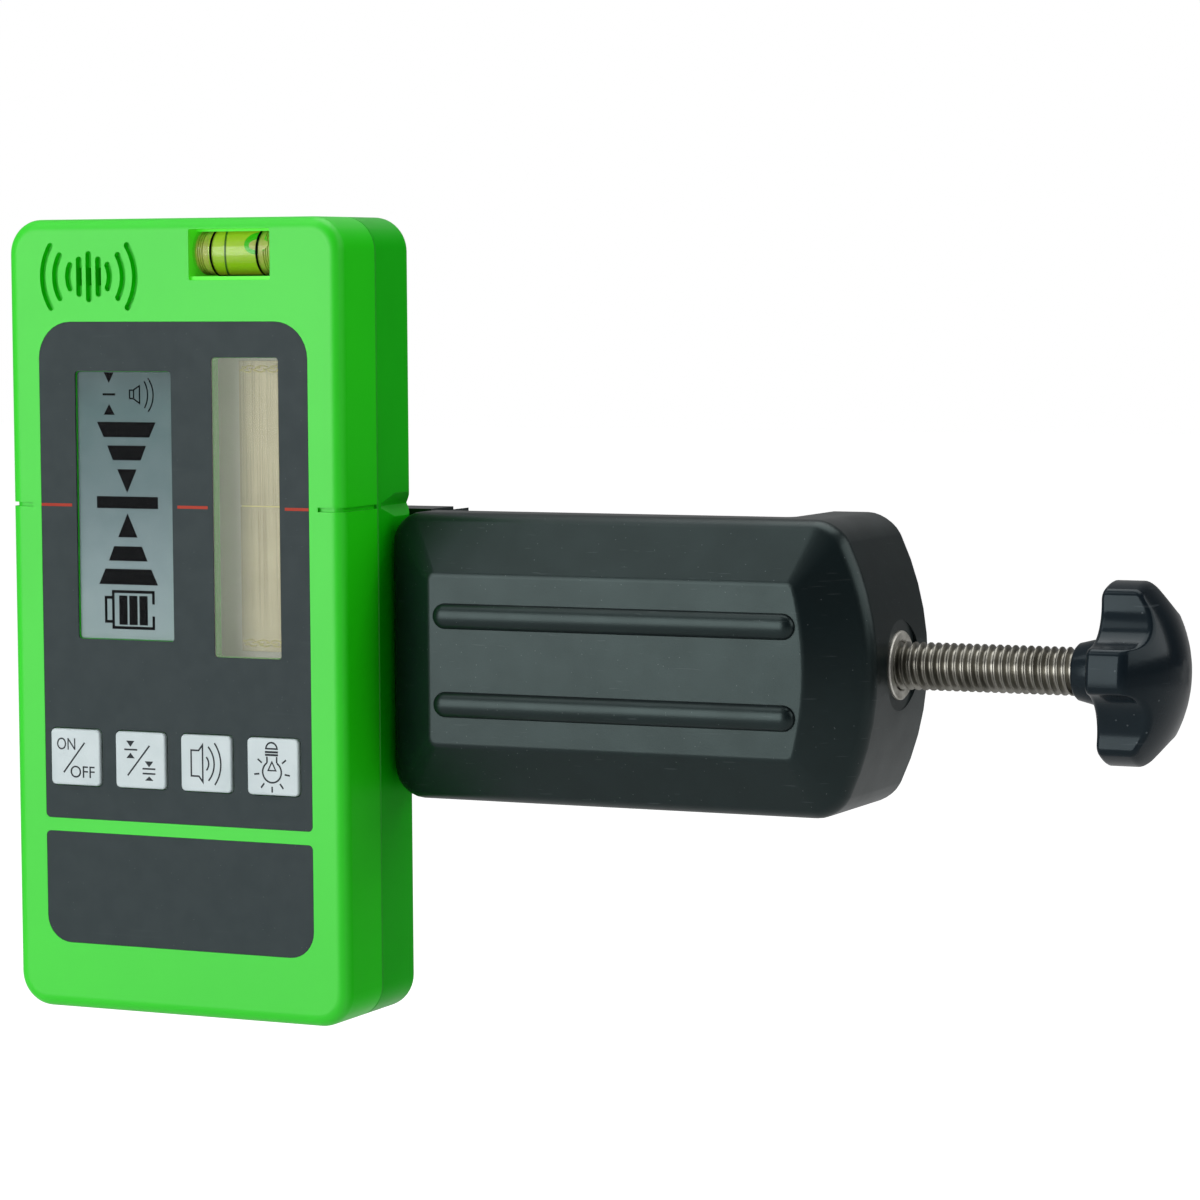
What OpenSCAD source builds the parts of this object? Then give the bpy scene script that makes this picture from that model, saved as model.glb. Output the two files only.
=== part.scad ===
// Laser receiver on a rod clamp.
// Frame: origin at the middle of the receiver's bottom face.
// +X runs along the clamp, -Y is the display side, +Z is up.
// Depths are counted from the receiver's front face, heights from its bottom face.

/* [Receiver case] */
// Width of the receiver
case_w = 78; // [76:1:84]
// Height of the receiver
case_h = 163; // [161:1:172]
// Depth of the receiver, front to back
case_d = 31; // [30:0.5:34]
// Radius of the case corners seen from the front
corner_r = 7; // [5:0.5:9]
// Rounding along the front edge
front_edge_r = 2.7; // [1.5:0.1:3.2]
// Rounding along the back edge
rear_edge_r = 3; // [1.5:0.1:3.4]
// Wall thickness of both shells
wall = 2.8; // [2.4:0.1:3.2]
// Depth of the front shell, from its face to the parting line
front_shell_d = 15; // [14.5:0.5:16.5]
// Height of the reference line above the bottom face
reference_z = 104.6; // [103:0.2:106]
// Height of the fine groove that carries the reference line round the front shell
mark_h = 0.75; // [0.5:0.05:1]
// Height of the reference notch in the rear shell
notch_h = 4.8; // [3:0.2:6]
// Depth of the reference notch in the rear shell
notch_depth = 1.5; // [0.8:0.1:1.8]
// Diameter of the case screws
case_screw_d = 3; // [2.5:0.1:3.5]
// Distance of the case screws from the sides
case_screw_inset = 6.8; // [6.6:0.1:7.4]
// Distance of the case screws from the top and bottom
case_screw_rise = 8; // [7:0.5:9]

/* [Labels and windows] */
// Width of both labels
label_w = 62.8; // [60:0.2:66]
// Height of the main label's bottom edge
label_bottom = 39.8; // [39:0.2:41]
// Distance of the main label's top edge from the top of the case
label_top = 20.9; // [20:0.1:23]
// Thickness of the label film
label_t = 0.4; // [0.3:0.05:0.6]
// Height of the lower label's bottom edge
lower_label_bottom = 13.9; // [12:0.1:16]
// Height of the lower label's top edge
lower_label_top = 37; // [35:0.1:38]
// Corner radius at the top of the main label
label_top_r = 7.5; // [3:0.5:9]
// Corner radius at the bottom of the lower label
label_bottom_r = 5.5; // [3:0.5:8]
// Width of the display window
display_w = 22.7; // [20:0.1:23]
// Height of the display window
display_h = 54.9; // [50:0.1:56]
// Centre of the display window, from the middle of the receiver
display_x = -11.55; // [-12.5:0.05:-11]
// Width of the sensor window
sensor_w = 15.4; // [12:0.1:16]
// Height of the sensor window
sensor_h = 60.6; // [55:0.1:61]
// Centre of the sensor window, from the middle of the receiver
sensor_x = 17; // [16.5:0.1:18]
// Width of the case rim that carries each window
window_ledge = 0.5; // [0.3:0.05:0.8]

/* [Keys] */
// Width of a key cap
key_w = 11.8; // [10:0.1:12.4]
// Height of a key cap
key_h = 11.6; // [10:0.1:12.4]
// Distance between key centres
key_pitch = 15.5; // [15.2:0.1:15.8]
// Height of the key row above the bottom face
key_z = 52.6; // [51.5:0.1:53.5]
// How far a key stands in front of the case
key_proud = 0.7; // [0.6:0.1:1.2]
// Travel of a key
key_travel = 0.5; // [0.3:0.05:0.6]

/* [Sound opening and level vial] */
// Centre of the sound opening, from the middle of the receiver
grille_x = -19.2; // [-19.5:0.1:-18]
// Distance of the sound opening's centre from the top
grille_drop = 11.7; // [11.6:0.1:12.6]
// Width of the sound grooves
groove_w = 1.2; // [0.8:0.1:1.4]
// Diameter of the buzzer
buzzer_d = 17; // [14:0.2:17]
// Width of the vial window
vial_window_w = 18.3; // [16:0.1:19]
// Height of the vial window
vial_window_h = 10; // [9:0.1:10.4]
// Centre of the vial window, from the middle of the receiver
vial_x = 13.75; // [13:0.05:14.5]
// Distance of the vial's centre from the top
vial_drop = 7.4; // [7.3:0.1:7.8]
// Outside diameter of the vial
vial_d = 9; // [8:0.1:9]
// Length of the vial
vial_len = 20; // [19.5:0.1:21]

/* [Battery] */
// Length of the battery's body
battery_len = 46; // [44:0.5:47]
// Height of the battery's body
battery_h = 26.5; // [24:0.5:27]
// Thickness of the battery's body
battery_t = 17.5; // [16:0.1:17.6]
// Height of the battery door
door_h = 38; // [36:0.5:41]
// Thickness of the battery door
door_t = 1.8; // [1.6:0.1:2]

/* [Clamp frame] */
// Length of the clamp frame, left edge to the middle of the curved end
clamp_len = 105.2; // [100:0.2:112]
// Height of the clamp frame
clamp_h = 58.5; // [54:0.5:62]
// Height of the clamp's middle above the bottom face
clamp_z = 74.1; // [72:0.1:76]
// Depth of the clamp's rim, from the receiver's front face
rim_depth = 19.6; // [18.5:0.1:21]
// Height of the sloping border in front of the rim
border_rise = 7; // [4:0.5:8]
// Width of the sloping border
border_w = 12; // [9:0.2:14]
// Thickness of the frame behind the rim
rim_t = 7.9; // [6:0.1:9]
// Radius of the curved end
end_r = 57; // [48:1:66]
// Radius of the frame's corners
plate_corner_r = 7; // [4:0.5:8]
// Length of the raised ribs
rib_len = 78.3; // [70:0.1:80]
// Height of a raised rib
rib_h = 5.2; // [4:0.1:6]
// How far the ribs stand out
rib_proud = 1.8; // [1:0.1:2.4]
// Distance between the two ribs' centres
rib_pitch = 17.8; // [15:0.1:20]
// Thickness of the fixed jaw
jaw_t = 4; // [3:0.1:6]
// Reach of the fixed jaw behind the receiver's back face
jaw_reach = 16; // [15:0.5:20]
// Thickness of the clamp's screw arm at its middle
arm_t = 20; // [18:0.5:24]
// Depth of the screw arm's back, from the receiver's front face
arm_depth = 50; // [48:0.5:54]

/* [Clamp screw] */
// Diameter of the clamp screw's thread
screw_d = 9.525; // [8:0.005:10]
// Pitch of the clamp screw's thread
screw_pitch = 1.5875; // [1.25:0.0125:1.75]
// Length of thread that shows between the arm and the knob
screw_out = 36; // [33:0.5:40]
// Depth of the screw's axis, from the receiver's front face
screw_depth = 35.5; // [35:0.1:38]
// Outside diameter of the threaded insert
insert_d = 13.7; // [12.6:0.1:15]
// Diameter of the star knob
knob_d = 36; // [32:0.5:40]
// Number of lobes on the star knob
knob_lobes = 5; // [4:1:7]
// Thickness of the star knob at its rim
knob_t = 7.5; // [6:0.5:10]
// Height of the knob's domed outer face
knob_dome = 7; // [5:0.1:9]
// Height of the pressure shoe
shoe_h = 36; // [28:1:44]
// Thickness of the pressure shoe
shoe_t = 8; // [7.5:0.1:10]

/* [Receiver mount] */
// Centre of the mount screw, from the middle of the receiver
mount_x = 20; // [17:0.5:23]
// Thickness of the mount plate behind the receiver
mount_plate_t = 10; // [8:0.5:12]
// Diameter of the mount screw's thread
mount_thread_d = 6.35; // [5:0.05:7]
// Diameter of the mount screw's head
mount_head_d = 18; // [14:0.5:20]
// Distance of the locating pins from the mount screw
pin_spread = 20; // [16:0.5:24]

/* [Hidden] */
$fn = 64;

fit = 0.1;
run = 0.06;
over = 1;
key_gap = 0.2;
key_corner_r = 1;
label_inner_r = 1;

front_y = -case_d / 2;
rear_y = case_d / 2;
split_y = front_y + front_shell_d;
notch_start = 6;
inner_front_y = front_y + wall;
inner_rear_y = rear_y - wall;
inner_top_z = case_h - wall;

glass_t = 2.2;
glass_gap = 0.4;
backlight_t = 2;
cell_depth = 7.5;
cell_t = 0.6;
carrier_t = 1;
board_t = 1.6;
board_y = front_y + cell_depth + cell_t + carrier_t;
board_back_y = board_y + board_t;
board_w = 68;
board_corner_r = 2;
board_margin = 3;
board_drop = 1;
post_margin = 0.5;
board_bottom = label_bottom + board_margin;
label_top_z = case_h - label_top;
board_top = label_top_z - board_drop;
post_r = 2.8;
post_x = board_w / 2 - post_r;
post_rise = 13.4;
post_low_z = key_z + post_rise;
post_high_z = board_top - post_r - post_margin;
board_screw_d = 2;
chip_w = 10;
chip_t = 1.4;

glass_margin = 2.2;
glass_w = display_w + 2 * glass_margin;
glass_h = display_h + 2 * glass_margin;
frame_wall = 1.2;
strip_w = 2.4;

carrier_w = 21;
carrier_margin = 2.7;
carrier_h = sensor_h + 2 * carrier_margin;
cell_w = 13;
cell_margin = 0.9;
cell_h = sensor_h / 2 - cell_margin;
cell_gap = 0.3;
cell_x = sensor_x + cell_margin;

grille_z = case_h - grille_drop;
gasket_t = 0.5;
gasket_w = 1.5;
sound_hole_d = 3;
buzzer_h = 6;
buzzer_ring = 1.2;
grille_hole_h = 3.6;
grille_slots = [-2.3, 0, 2.3];
slot_half = [4, 5.1, 4];
arc_centre = -0.5;
grille_arcs = [5.5, 8.6, 11.5];
arc_half_angle = [25, 30, 33];

vial_z = case_h - vial_drop;
vial_y = inner_front_y + fit + vial_d / 2;
vial_wall = 0.8;
plug_t = 1.6;
bubble_len = 6;
bubble_h = 1.6;
ring_spread = 10.4;
ring_t = 0.5;
ring_line = 0.15;
stop_t = 2;

keys_x = -0.5;
flange = 0.8;
flange_t = 0.8;
switch_w = 6;
switch_h = 3.4;
stem_d = 3.4;
key_stem_d = 5.4;
stem_proud = 0.9;
stem_top_y = board_y - switch_h - stem_proud;

battery_room = 0.4;
door_w = 50;
tongue = 1.5;
tongue_t = 0.8;
grip_count = 5;
grip_pitch = 3;
grip_drop = 7.8;
grip_w = 18;
grip_t = 1.2;
grip_proud = 0.6;
door_y = rear_y - door_t;
battery_back_y = door_y - battery_room;
battery_front_y = battery_back_y - battery_t;
battery_mid_y = battery_back_y - battery_t / 2;
terminal_h = 2.5;
terminal_d = 5.6;
terminal_step = 1;
terminal_pitch = 12.7;
battery_x0 = -(battery_len + terminal_h) / 2;
battery_x1 = battery_x0 + battery_len;
battery_bottom = wall + fit;
battery_top = battery_bottom + battery_h;
battery_rib_t = 2;
battery_rib_x = 14;
snap_t = 3;
snap_w = 12;
snap_inset = 0.5;
snap_top = battery_top - snap_inset;
snap_x = battery_x1 + terminal_h + fit / 2;
lead_d = 1.4;
lead_spread = 6;

boss_r = 3.9;
head_d = 5.6;
head_h = 2.4;
head_sink = 3;
cross_w = 3.2;
cross_t = 0.7;
pilot_depth = 5;
seal_inset = 0.9;
seal_w = 1;
seal_h = 1;

rim_y = front_y + rim_depth;
field_y = rim_y - border_rise;
spine_y = rim_y + rim_t;
clamp_gap = 0.4;
clamp_x = case_w / 2 + clamp_gap;
clamp_end = clamp_x + clamp_len;
clamp_bottom = clamp_z - clamp_h / 2;
jaw_x = clamp_x + jaw_t;
jaw_y = rear_y + jaw_reach;
arm_y = front_y + arm_depth;
arm_x = clamp_end - arm_t;
field_bow = 7;
field_end_r = end_r + field_bow;
field_corner_r = 1;
border_ledge = 0.2;
rib_margin = 1.2;
pocket_floor = 3;
pocket_wall = 3;
pocket_cells = 3;
pocket_rise = border_w + pocket_wall;

screw_y = front_y + screw_depth;
spot_w = 2.15;
spot_d = insert_d + 2 * spot_w;
spot_depth = spot_d * spot_d / 8 / end_r + fit;
spot_x = clamp_end - spot_depth;
insert_proud = 0.6;
insert_x = spot_x + insert_proud;
collar_x = clamp_end + screw_out;
collar_d = 12;
collar_len = 7;
knob_x = collar_x + collar_len;
knob_bore = 8;
scallop_r = 9;
scallop_depth = 4.5;
knob_phase = 12;
thread_h = 0.613 * screw_pitch;
shoe_gap = 0.5;
shoe_back = 4;
shoe_x1 = arm_x - shoe_gap;
shoe_x0 = shoe_x1 - shoe_t;
shoe_y0 = spine_y + shoe_gap;
shoe_y1 = arm_y - shoe_back;
pad_t = 2;
pad_inset = 1;
shoe_corner_r = 1;
tip_d = 6.4;
clip_t = 1;
clip_d = 11;
clip_bore = 5;
clip_slot = 4;
clip_room = 0.5;
clip_back = 4.4;
clip_x = shoe_x1 - clip_back;
tip_x = clip_x - over;
pocket_x = clip_x + clip_t + fit;

mount_pad = 14;
mount_left = mount_x - mount_pad;
mount_back_y = rear_y + mount_plate_t;
mount_insert_len = 10.3;
mount_boss_r = 7.5;
mount_insert_wall = 1.4;
mount_insert_d = mount_thread_d + 2 * mount_insert_wall;
washer_t = 1;
washer_d = 14;
mount_head_t = 8;
mount_screw_reach = 9;
flutes = 12;
flute_d = 2.4;
pin_d = 4;
pin_len = 2;

// Fills y0 to y1 with an outline drawn in X and Z
module slab_y(y0, y1) {
  translate([0, y1, 0])
    rotate([90, 0, 0])
      linear_extrude(y1 - y0)
        children();
}

// Round bar or hole along Y
module rod_y(x, z, d, y0, y1) {
  translate([x, y1, z])
    rotate([90, 0, 0])
      cylinder(d = d, h = y1 - y0);
}

// Round bar or hole along X
module rod_x(y, z, d, x0, x1) {
  translate([x0, y, z])
    rotate([0, 90, 0])
      cylinder(d = d, h = x1 - x0);
}

module box(x0, x1, y0, y1, z0, z1) {
  translate([x0, y0, z0])
    cube([x1 - x0, y1 - y0, z1 - z0]);
}

module round_rect(w, h, r) {
  square([w - 2 * r, h], center = true);
  square([w, h - 2 * r], center = true);
  for (x = [-1, 1], z = [-1, 1])
    translate([x * (w / 2 - r), z * (h / 2 - r)])
      circle(r = r);
}

// Rectangle with its own radius at the top and bottom corners
module label_outline(w, z0, z1, r_top, r_bottom) {
  r = max(r_top, r_bottom);
  translate([-w / 2, z0 + r])
    square([w, z1 - z0 - 2 * r]);
  for (end = [[z0, 1, r_bottom], [z1, -1, r_top]])
    intersection() {
      translate([0, end[0] + end[1] * w / 2])
        round_rect(w, w, end[2]);
      translate([-w / 2, min(end[0], end[0] + end[1] * r)])
        square([w, r]);
    }
}

module case_outline(inset = 0) {
  translate([0, case_h / 2])
    round_rect(case_w - 2 * inset, case_h - 2 * inset, corner_r - inset);
}

// Cross-section with the front and back edge roundings, in depth and one other direction
module edge_profile(length) {
  polygon([
    [front_edge_r, front_y], [length - front_edge_r, front_y],
    [length, front_y + front_edge_r], [length, rear_y - rear_edge_r],
    [length - rear_edge_r, rear_y], [rear_edge_r, rear_y],
    [0, rear_y - rear_edge_r], [0, front_y + front_edge_r]
  ]);
  for (end = [[front_edge_r, front_y + front_edge_r], [rear_edge_r, rear_y - rear_edge_r]])
    for (x = [end[0], length - end[0]])
      translate([x, end[1]])
        circle(r = end[0]);
}

module case_block() {
  intersection() {
    slab_y(front_y, rear_y)
      case_outline();
    translate([-case_w / 2, 0, 0])
      linear_extrude(case_h)
        edge_profile(case_w);
    translate([-case_w / 2, 0, 0])
      rotate([0, -90, 180])
        mirror([0, 1, 0])
          linear_extrude(case_w)
            edge_profile(case_h);
  }
}

module case_cavity() {
  slab_y(inner_front_y, inner_rear_y)
    case_outline(wall);
}

module at_case_screws() {
  for (x = [-1, 1], z = [case_screw_rise, case_h - case_screw_rise])
    translate([x * (case_w / 2 - case_screw_inset), 0, z])
      children();
}

module at_board_posts() {
  for (x = [-post_x, post_x], z = [post_low_z, post_high_z])
    translate([x, 0, z])
      children();
}

function key_x(i) = keys_x + (i - 1.5) * key_pitch;

module key_outline(grow = 0) {
  round_rect(key_w + 2 * grow, key_h + 2 * grow, key_corner_r + grow);
}

module window_outline(x, w, h, grow = 0) {
  translate([x, reference_z])
    square([w + 2 * grow, h + 2 * grow], center = true);
}

module main_label_outline() {
  label_outline(label_w, label_bottom, label_top_z, label_top_r, label_inner_r);
}

module lower_label_outline() {
  label_outline(label_w, lower_label_bottom, lower_label_top, label_inner_r, label_bottom_r);
}

// Sound opening: bent grooves at both sides of three upright slots
module grille_outline() {
  translate([grille_x, grille_z]) {
    for (i = [0 : 2])
      translate([grille_slots[i], 0])
        square([groove_w, 2 * slot_half[i]], center = true);
    for (i = [0 : 2], side = [0, 180])
      rotate(side)
        translate([arc_centre, 0])
          intersection() {
            difference() {
              circle(r = grille_arcs[i] + groove_w / 2);
              circle(r = grille_arcs[i] - groove_w / 2);
            }
            polygon([
              [0, 0],
              2 * grille_arcs[i] * [cos(arc_half_angle[i]), sin(arc_half_angle[i])],
              2 * grille_arcs[i] * [cos(arc_half_angle[i]), -sin(arc_half_angle[i])]
            ]);
          }
  }
}

module grille_holes() {
  translate([grille_x, grille_z])
    for (x = grille_slots)
      translate([x, 0])
        square([groove_w, grille_hole_h], center = true);
}

module front_case() {
  groove_depth = 0.9;
  color("limegreen")
    difference() {
      union() {
        difference() {
          intersection() {
            case_block();
            box(-case_w, case_w, front_y - over, split_y, -over, case_h + over);
          }
          case_cavity();
        }
        at_case_screws()
          rod_y(0, 0, 2 * boss_r, inner_front_y, split_y);
        at_board_posts()
          rod_y(0, 0, 2 * post_r, inner_front_y, board_y);
        rod_y(grille_x, grille_z, buzzer_d + 2 * (fit + buzzer_ring), inner_front_y,
          inner_front_y + gasket_t + buzzer_h);
        for (side = [-1, 1])
          translate([vial_x + side * (vial_len / 2 + fit + stop_t / 2), 0, 0])
            box(-stop_t / 2, stop_t / 2, inner_front_y, vial_y + vial_d / 2,
              vial_z - vial_d / 2, inner_top_z);
        for (x = [-battery_rib_x, battery_rib_x])
          box(x - battery_rib_t / 2, x + battery_rib_t / 2, inner_front_y - over,
            battery_front_y - fit, wall - over, battery_top);
      }
      rod_y(grille_x, grille_z, buzzer_d + 2 * fit, inner_front_y, split_y);
      slab_y(front_y - over, front_y + label_t) {
        main_label_outline();
        lower_label_outline();
      }
      slab_y(front_y - over, inner_front_y + over) {
        window_outline(display_x, display_w, display_h, -window_ledge);
        window_outline(sensor_x, sensor_w, sensor_h, -window_ledge);
        translate([vial_x, vial_z])
          square([vial_window_w, vial_window_h], center = true);
        for (i = [0 : 3])
          translate([key_x(i), key_z])
            key_outline(key_gap);
        grille_holes();
      }
      slab_y(front_y - over, front_y + groove_depth)
        grille_outline();
      for (side = [-1, 1]) {
        translate([side * case_w / 2, 0, 0])
          box(-groove_depth / 2, groove_depth / 2, front_y - over, split_y + over,
            reference_z - mark_h / 2, reference_z + mark_h / 2);
        translate([side * (label_w / 2 + case_w / 2) / 2, 0, 0])
          box((label_w - case_w) / 4, (case_w - label_w) / 4, front_y - over,
            front_y + groove_depth / 2, reference_z - mark_h / 2, reference_z + mark_h / 2);
      }
      slab_y(split_y - seal_h, split_y + over)
        difference() {
          case_outline(seal_inset);
          case_outline(seal_inset + seal_w);
        }
      at_case_screws()
        rod_y(0, 0, case_screw_d + 2 * fit, inner_front_y + pilot_depth, split_y + over);
      at_board_posts()
        rod_y(0, 0, board_screw_d + 2 * fit, inner_front_y + over, board_y + over);
    }
}

// Cut for the door: a recess open at the bottom edge, with a side groove under each lip
module door_recess() {
  box(-door_w / 2 - fit, door_w / 2 + fit, door_y - fit, rear_y + over, -over, door_h + fit);
  box(-door_w / 2 - tongue - fit, door_w / 2 + tongue + fit, door_y - fit,
    door_y + tongue_t + fit, -over, door_h + fit);
}

module rear_case() {
  color("forestgreen")
    difference() {
      union() {
        difference() {
          intersection() {
            case_block();
            box(-case_w, case_w, split_y, rear_y + over, -over, case_h + over);
          }
          case_cavity();
        }
        at_case_screws()
          rod_y(0, 0, 2 * boss_r, split_y, inner_rear_y);
        rod_y(mount_x, clamp_z, 2 * mount_boss_r, rear_y - mount_insert_len - over, inner_rear_y);
      }
      door_recess();
      box(battery_x0 - battery_room, battery_x1 + terminal_h + battery_room, split_y + over,
        rear_y, wall, battery_top + battery_room);
      rod_y(mount_x, clamp_z, mount_insert_d + fit, rear_y - mount_insert_len - 2 * over,
        rear_y + over);
      for (side = [-1, 1]) {
        rod_y(mount_x, clamp_z + side * pin_spread, pin_d + 2 * fit, rear_y - pin_len - fit,
          rear_y + over);
        slab_y(split_y + notch_start, rear_y + over)
          translate([side * case_w / 2, reference_z])
            polygon([
              [-side * notch_depth, 0], [side * over, -notch_h / 2 - over],
              [side * over, notch_h / 2 + over]
            ]);
      }
      at_case_screws() {
        rod_y(0, 0, case_screw_d + 2 * fit, split_y - over, rear_y + over);
        rod_y(0, 0, head_d + 2 * fit, rear_y - head_sink - head_h, rear_y + over);
      }
    }
}

module case_seal() {
  color("black")
    slab_y(split_y - seal_h + run, split_y)
      difference() {
        case_outline(seal_inset + run);
        case_outline(seal_inset + seal_w - run);
      }
}

module case_screws() {
  color("silver")
    at_case_screws() {
      rod_y(0, 0, case_screw_d, inner_front_y + pilot_depth + over, rear_y - head_sink - over);
      difference() {
        rod_y(0, 0, head_d, rear_y - head_sink - head_h, rear_y - head_sink);
        for (turn = [0, 90])
          rotate([0, turn, 0])
            box(-cross_w / 2, cross_w / 2, rear_y - head_sink - head_h / 2, rear_y,
              -cross_t / 2, cross_t / 2);
      }
    }
}

module front_label() {
  color("darkslategray")
    slab_y(front_y, front_y + label_t)
      difference() {
        main_label_outline();
        window_outline(display_x, display_w, display_h);
        window_outline(sensor_x, sensor_w, sensor_h);
        for (i = [0 : 3])
          translate([key_x(i), key_z])
            key_outline(key_gap);
      }
}

module lower_label() {
  color("darkslategray")
    slab_y(front_y, front_y + label_t)
      lower_label_outline();
}

module display_window() {
  color("lightcyan", 0.4)
    slab_y(front_y, front_y + label_t)
      window_outline(display_x, display_w, display_h, -run / 2);
}

module sensor_window() {
  color("lightcyan", 0.4)
    slab_y(front_y, front_y + label_t)
      window_outline(sensor_x, sensor_w, sensor_h, -run / 2);
}

// The middle of the glass stands up through the opening, close behind the window
module lcd_glass() {
  color("lightsteelblue") {
    slab_y(inner_front_y, inner_front_y + glass_t)
      window_outline(display_x, glass_w, glass_h);
    slab_y(front_y + label_t + glass_gap, inner_front_y + glass_t)
      window_outline(display_x, display_w, display_h, -window_ledge - fit);
  }
}

module lcd_backlight() {
  color("white")
    slab_y(inner_front_y + glass_t, inner_front_y + glass_t + backlight_t)
      window_outline(display_x, glass_w, glass_h - 2 * (strip_w + fit));
}

// Slots at the top and bottom edge of the glass, where the contact strips stand
module strip_outline(shrink = 0) {
  for (side = [-1, 1])
    translate([display_x, reference_z + side * (glass_h - strip_w) / 2])
      square([glass_w - 2 * shrink, strip_w - 2 * shrink], center = true);
}

module lcd_frame() {
  tray_y = inner_front_y + glass_t + backlight_t;
  color("whitesmoke") {
    slab_y(inner_front_y, board_y)
      difference() {
        window_outline(display_x, glass_w, glass_h, fit + frame_wall);
        window_outline(display_x, glass_w, glass_h, fit);
      }
    slab_y(tray_y, board_y)
      difference() {
        window_outline(display_x, glass_w, glass_h, fit + frame_wall / 2);
        strip_outline();
      }
  }
}

module contact_strips() {
  color("pink")
    slab_y(inner_front_y + glass_t, board_y)
      strip_outline(run);
}

module main_board() {
  color("darkgreen")
    difference() {
      slab_y(board_y, board_back_y)
        translate([0, (board_bottom + board_top) / 2])
          round_rect(board_w, board_top - board_bottom, board_corner_r);
      at_board_posts()
        rod_y(0, 0, board_screw_d + 2 * fit, board_y - over, board_back_y + over);
    }
}

module board_screws() {
  color("silver")
    at_board_posts() {
      rod_y(0, 0, board_screw_d, inner_front_y + 2 * over, board_back_y);
      rod_y(0, 0, 2 * board_screw_d, board_back_y, board_back_y + board_screw_d / 2);
    }
}

module controller_chip() {
  color("dimgray")
    slab_y(board_back_y, board_back_y + chip_t)
      translate([display_x, reference_z])
        square(chip_w, center = true);
}

module switch_bodies() {
  color("dimgray")
    for (i = [0 : 3])
      difference() {
        slab_y(board_y - switch_h, board_y)
          translate([key_x(i), key_z])
            square(switch_w, center = true);
        rod_y(key_x(i), key_z, stem_d + 2 * fit, board_y - switch_h - over, board_y - fit);
      }
}

module plunger(i) {
  color("orange")
    rod_y(key_x(i), key_z, stem_d, stem_top_y, board_y - key_travel - 2 * fit);
}

module plunger_power() plunger(0);

module plunger_accuracy() plunger(1);

module plunger_sound() plunger(2);

module plunger_light() plunger(3);

module key(i) {
  color("gainsboro") {
    slab_y(front_y - key_proud, inner_front_y + fit)
      translate([key_x(i), key_z])
        key_outline();
    slab_y(inner_front_y + fit, inner_front_y + fit + flange_t)
      translate([key_x(i), key_z])
        key_outline(flange);
    slab_y(inner_front_y + fit + flange_t, stem_top_y)
      translate([key_x(i), key_z])
        circle(d = key_stem_d);
  }
}

module key_power() key(0);

module key_accuracy() key(1);

module key_sound() key(2);

module key_light() key(3);

module sensor_board() {
  color("lightgray")
    slab_y(board_y - carrier_t, board_y)
      window_outline(sensor_x, carrier_w, carrier_h);
}

module photocell(side) {
  color("tan")
    slab_y(board_y - carrier_t - cell_t, board_y - carrier_t)
      translate([cell_x, reference_z + side * (cell_gap + cell_h) / 2])
        square([cell_w, cell_h], center = true);
}

module photocell_upper() photocell(1);

module photocell_lower() photocell(-1);

module vial_tube() {
  color("greenyellow", 0.5)
    difference() {
      rod_x(vial_y, vial_z, vial_d, vial_x - vial_len / 2, vial_x + vial_len / 2);
      rod_x(vial_y, vial_z, vial_d - 2 * vial_wall, vial_x - vial_len, vial_x + vial_len);
    }
}

// The flat taken off the top leaves room for the air bubble
module vial_liquid() {
  liquid_d = vial_d - 2 * vial_wall - 2 * run;
  half = vial_len / 2 - plug_t;
  color("yellowgreen", 0.7)
    difference() {
      rod_x(vial_y, vial_z, liquid_d, vial_x - half, vial_x + half);
      translate([vial_x, 0, 0])
        box(-bubble_len / 2, bubble_len / 2, vial_y - vial_d, vial_y + vial_d,
          vial_z + liquid_d / 2 - bubble_h, vial_z + vial_d);
    }
}

module vial_plugs() {
  color("limegreen")
    for (end = [vial_x - vial_len / 2, vial_x + vial_len / 2 - plug_t])
      rod_x(vial_y, vial_z, vial_d - 2 * vial_wall - 2 * run, end, end + plug_t);
}

// Printed lines round the tube, as bands let into its clearance
module vial_rings() {
  color("black")
    for (side = [-1, 1])
      translate([vial_x + side * ring_spread / 2, 0, 0])
        difference() {
          rod_x(vial_y, vial_z, vial_d + ring_line, -ring_t / 2, ring_t / 2);
          rod_x(vial_y, vial_z, vial_d, -ring_t, ring_t);
        }
}

module buzzer() {
  color("dimgray")
    difference() {
      rod_y(grille_x, grille_z, buzzer_d, inner_front_y + gasket_t,
        inner_front_y + gasket_t + buzzer_h);
      rod_y(grille_x, grille_z, sound_hole_d, inner_front_y, inner_front_y + gasket_t + over);
    }
}

module buzzer_gasket() {
  color("black")
    difference() {
      rod_y(grille_x, grille_z, buzzer_d, inner_front_y, inner_front_y + gasket_t);
      rod_y(grille_x, grille_z, buzzer_d - 2 * gasket_w, inner_front_y - over,
        inner_front_y + gasket_t + over);
    }
}

module battery() {
  color("slategray") {
    box(battery_x0, battery_x1, battery_front_y, battery_back_y, battery_bottom, battery_top);
    for (side = [-1, 1])
      rod_x(battery_mid_y, battery_bottom + (battery_h + side * terminal_pitch) / 2,
        terminal_d + side * terminal_step, battery_x1, battery_x1 + terminal_h);
  }
}

module battery_snap() {
  color("black")
    box(snap_x, snap_x + snap_t, battery_mid_y - snap_w / 2, battery_mid_y + snap_w / 2,
      battery_bottom + snap_inset, snap_top);
}

// Lead from the battery snap up to the back of the board
module lead(side) {
  lead_x = snap_x + snap_t / 2;
  lead_y = battery_mid_y + side * lead_spread / 2;
  lead_z = board_bottom + board_margin + lead_d * (1 + side);
  translate([lead_x, lead_y, snap_top])
    cylinder(d = lead_d, h = lead_z - snap_top);
  translate([lead_x, lead_y, lead_z])
    sphere(d = lead_d);
  rod_y(lead_x, lead_z, lead_d, board_back_y, lead_y);
}

module lead_red() {
  color("red")
    lead(-1);
}

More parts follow.
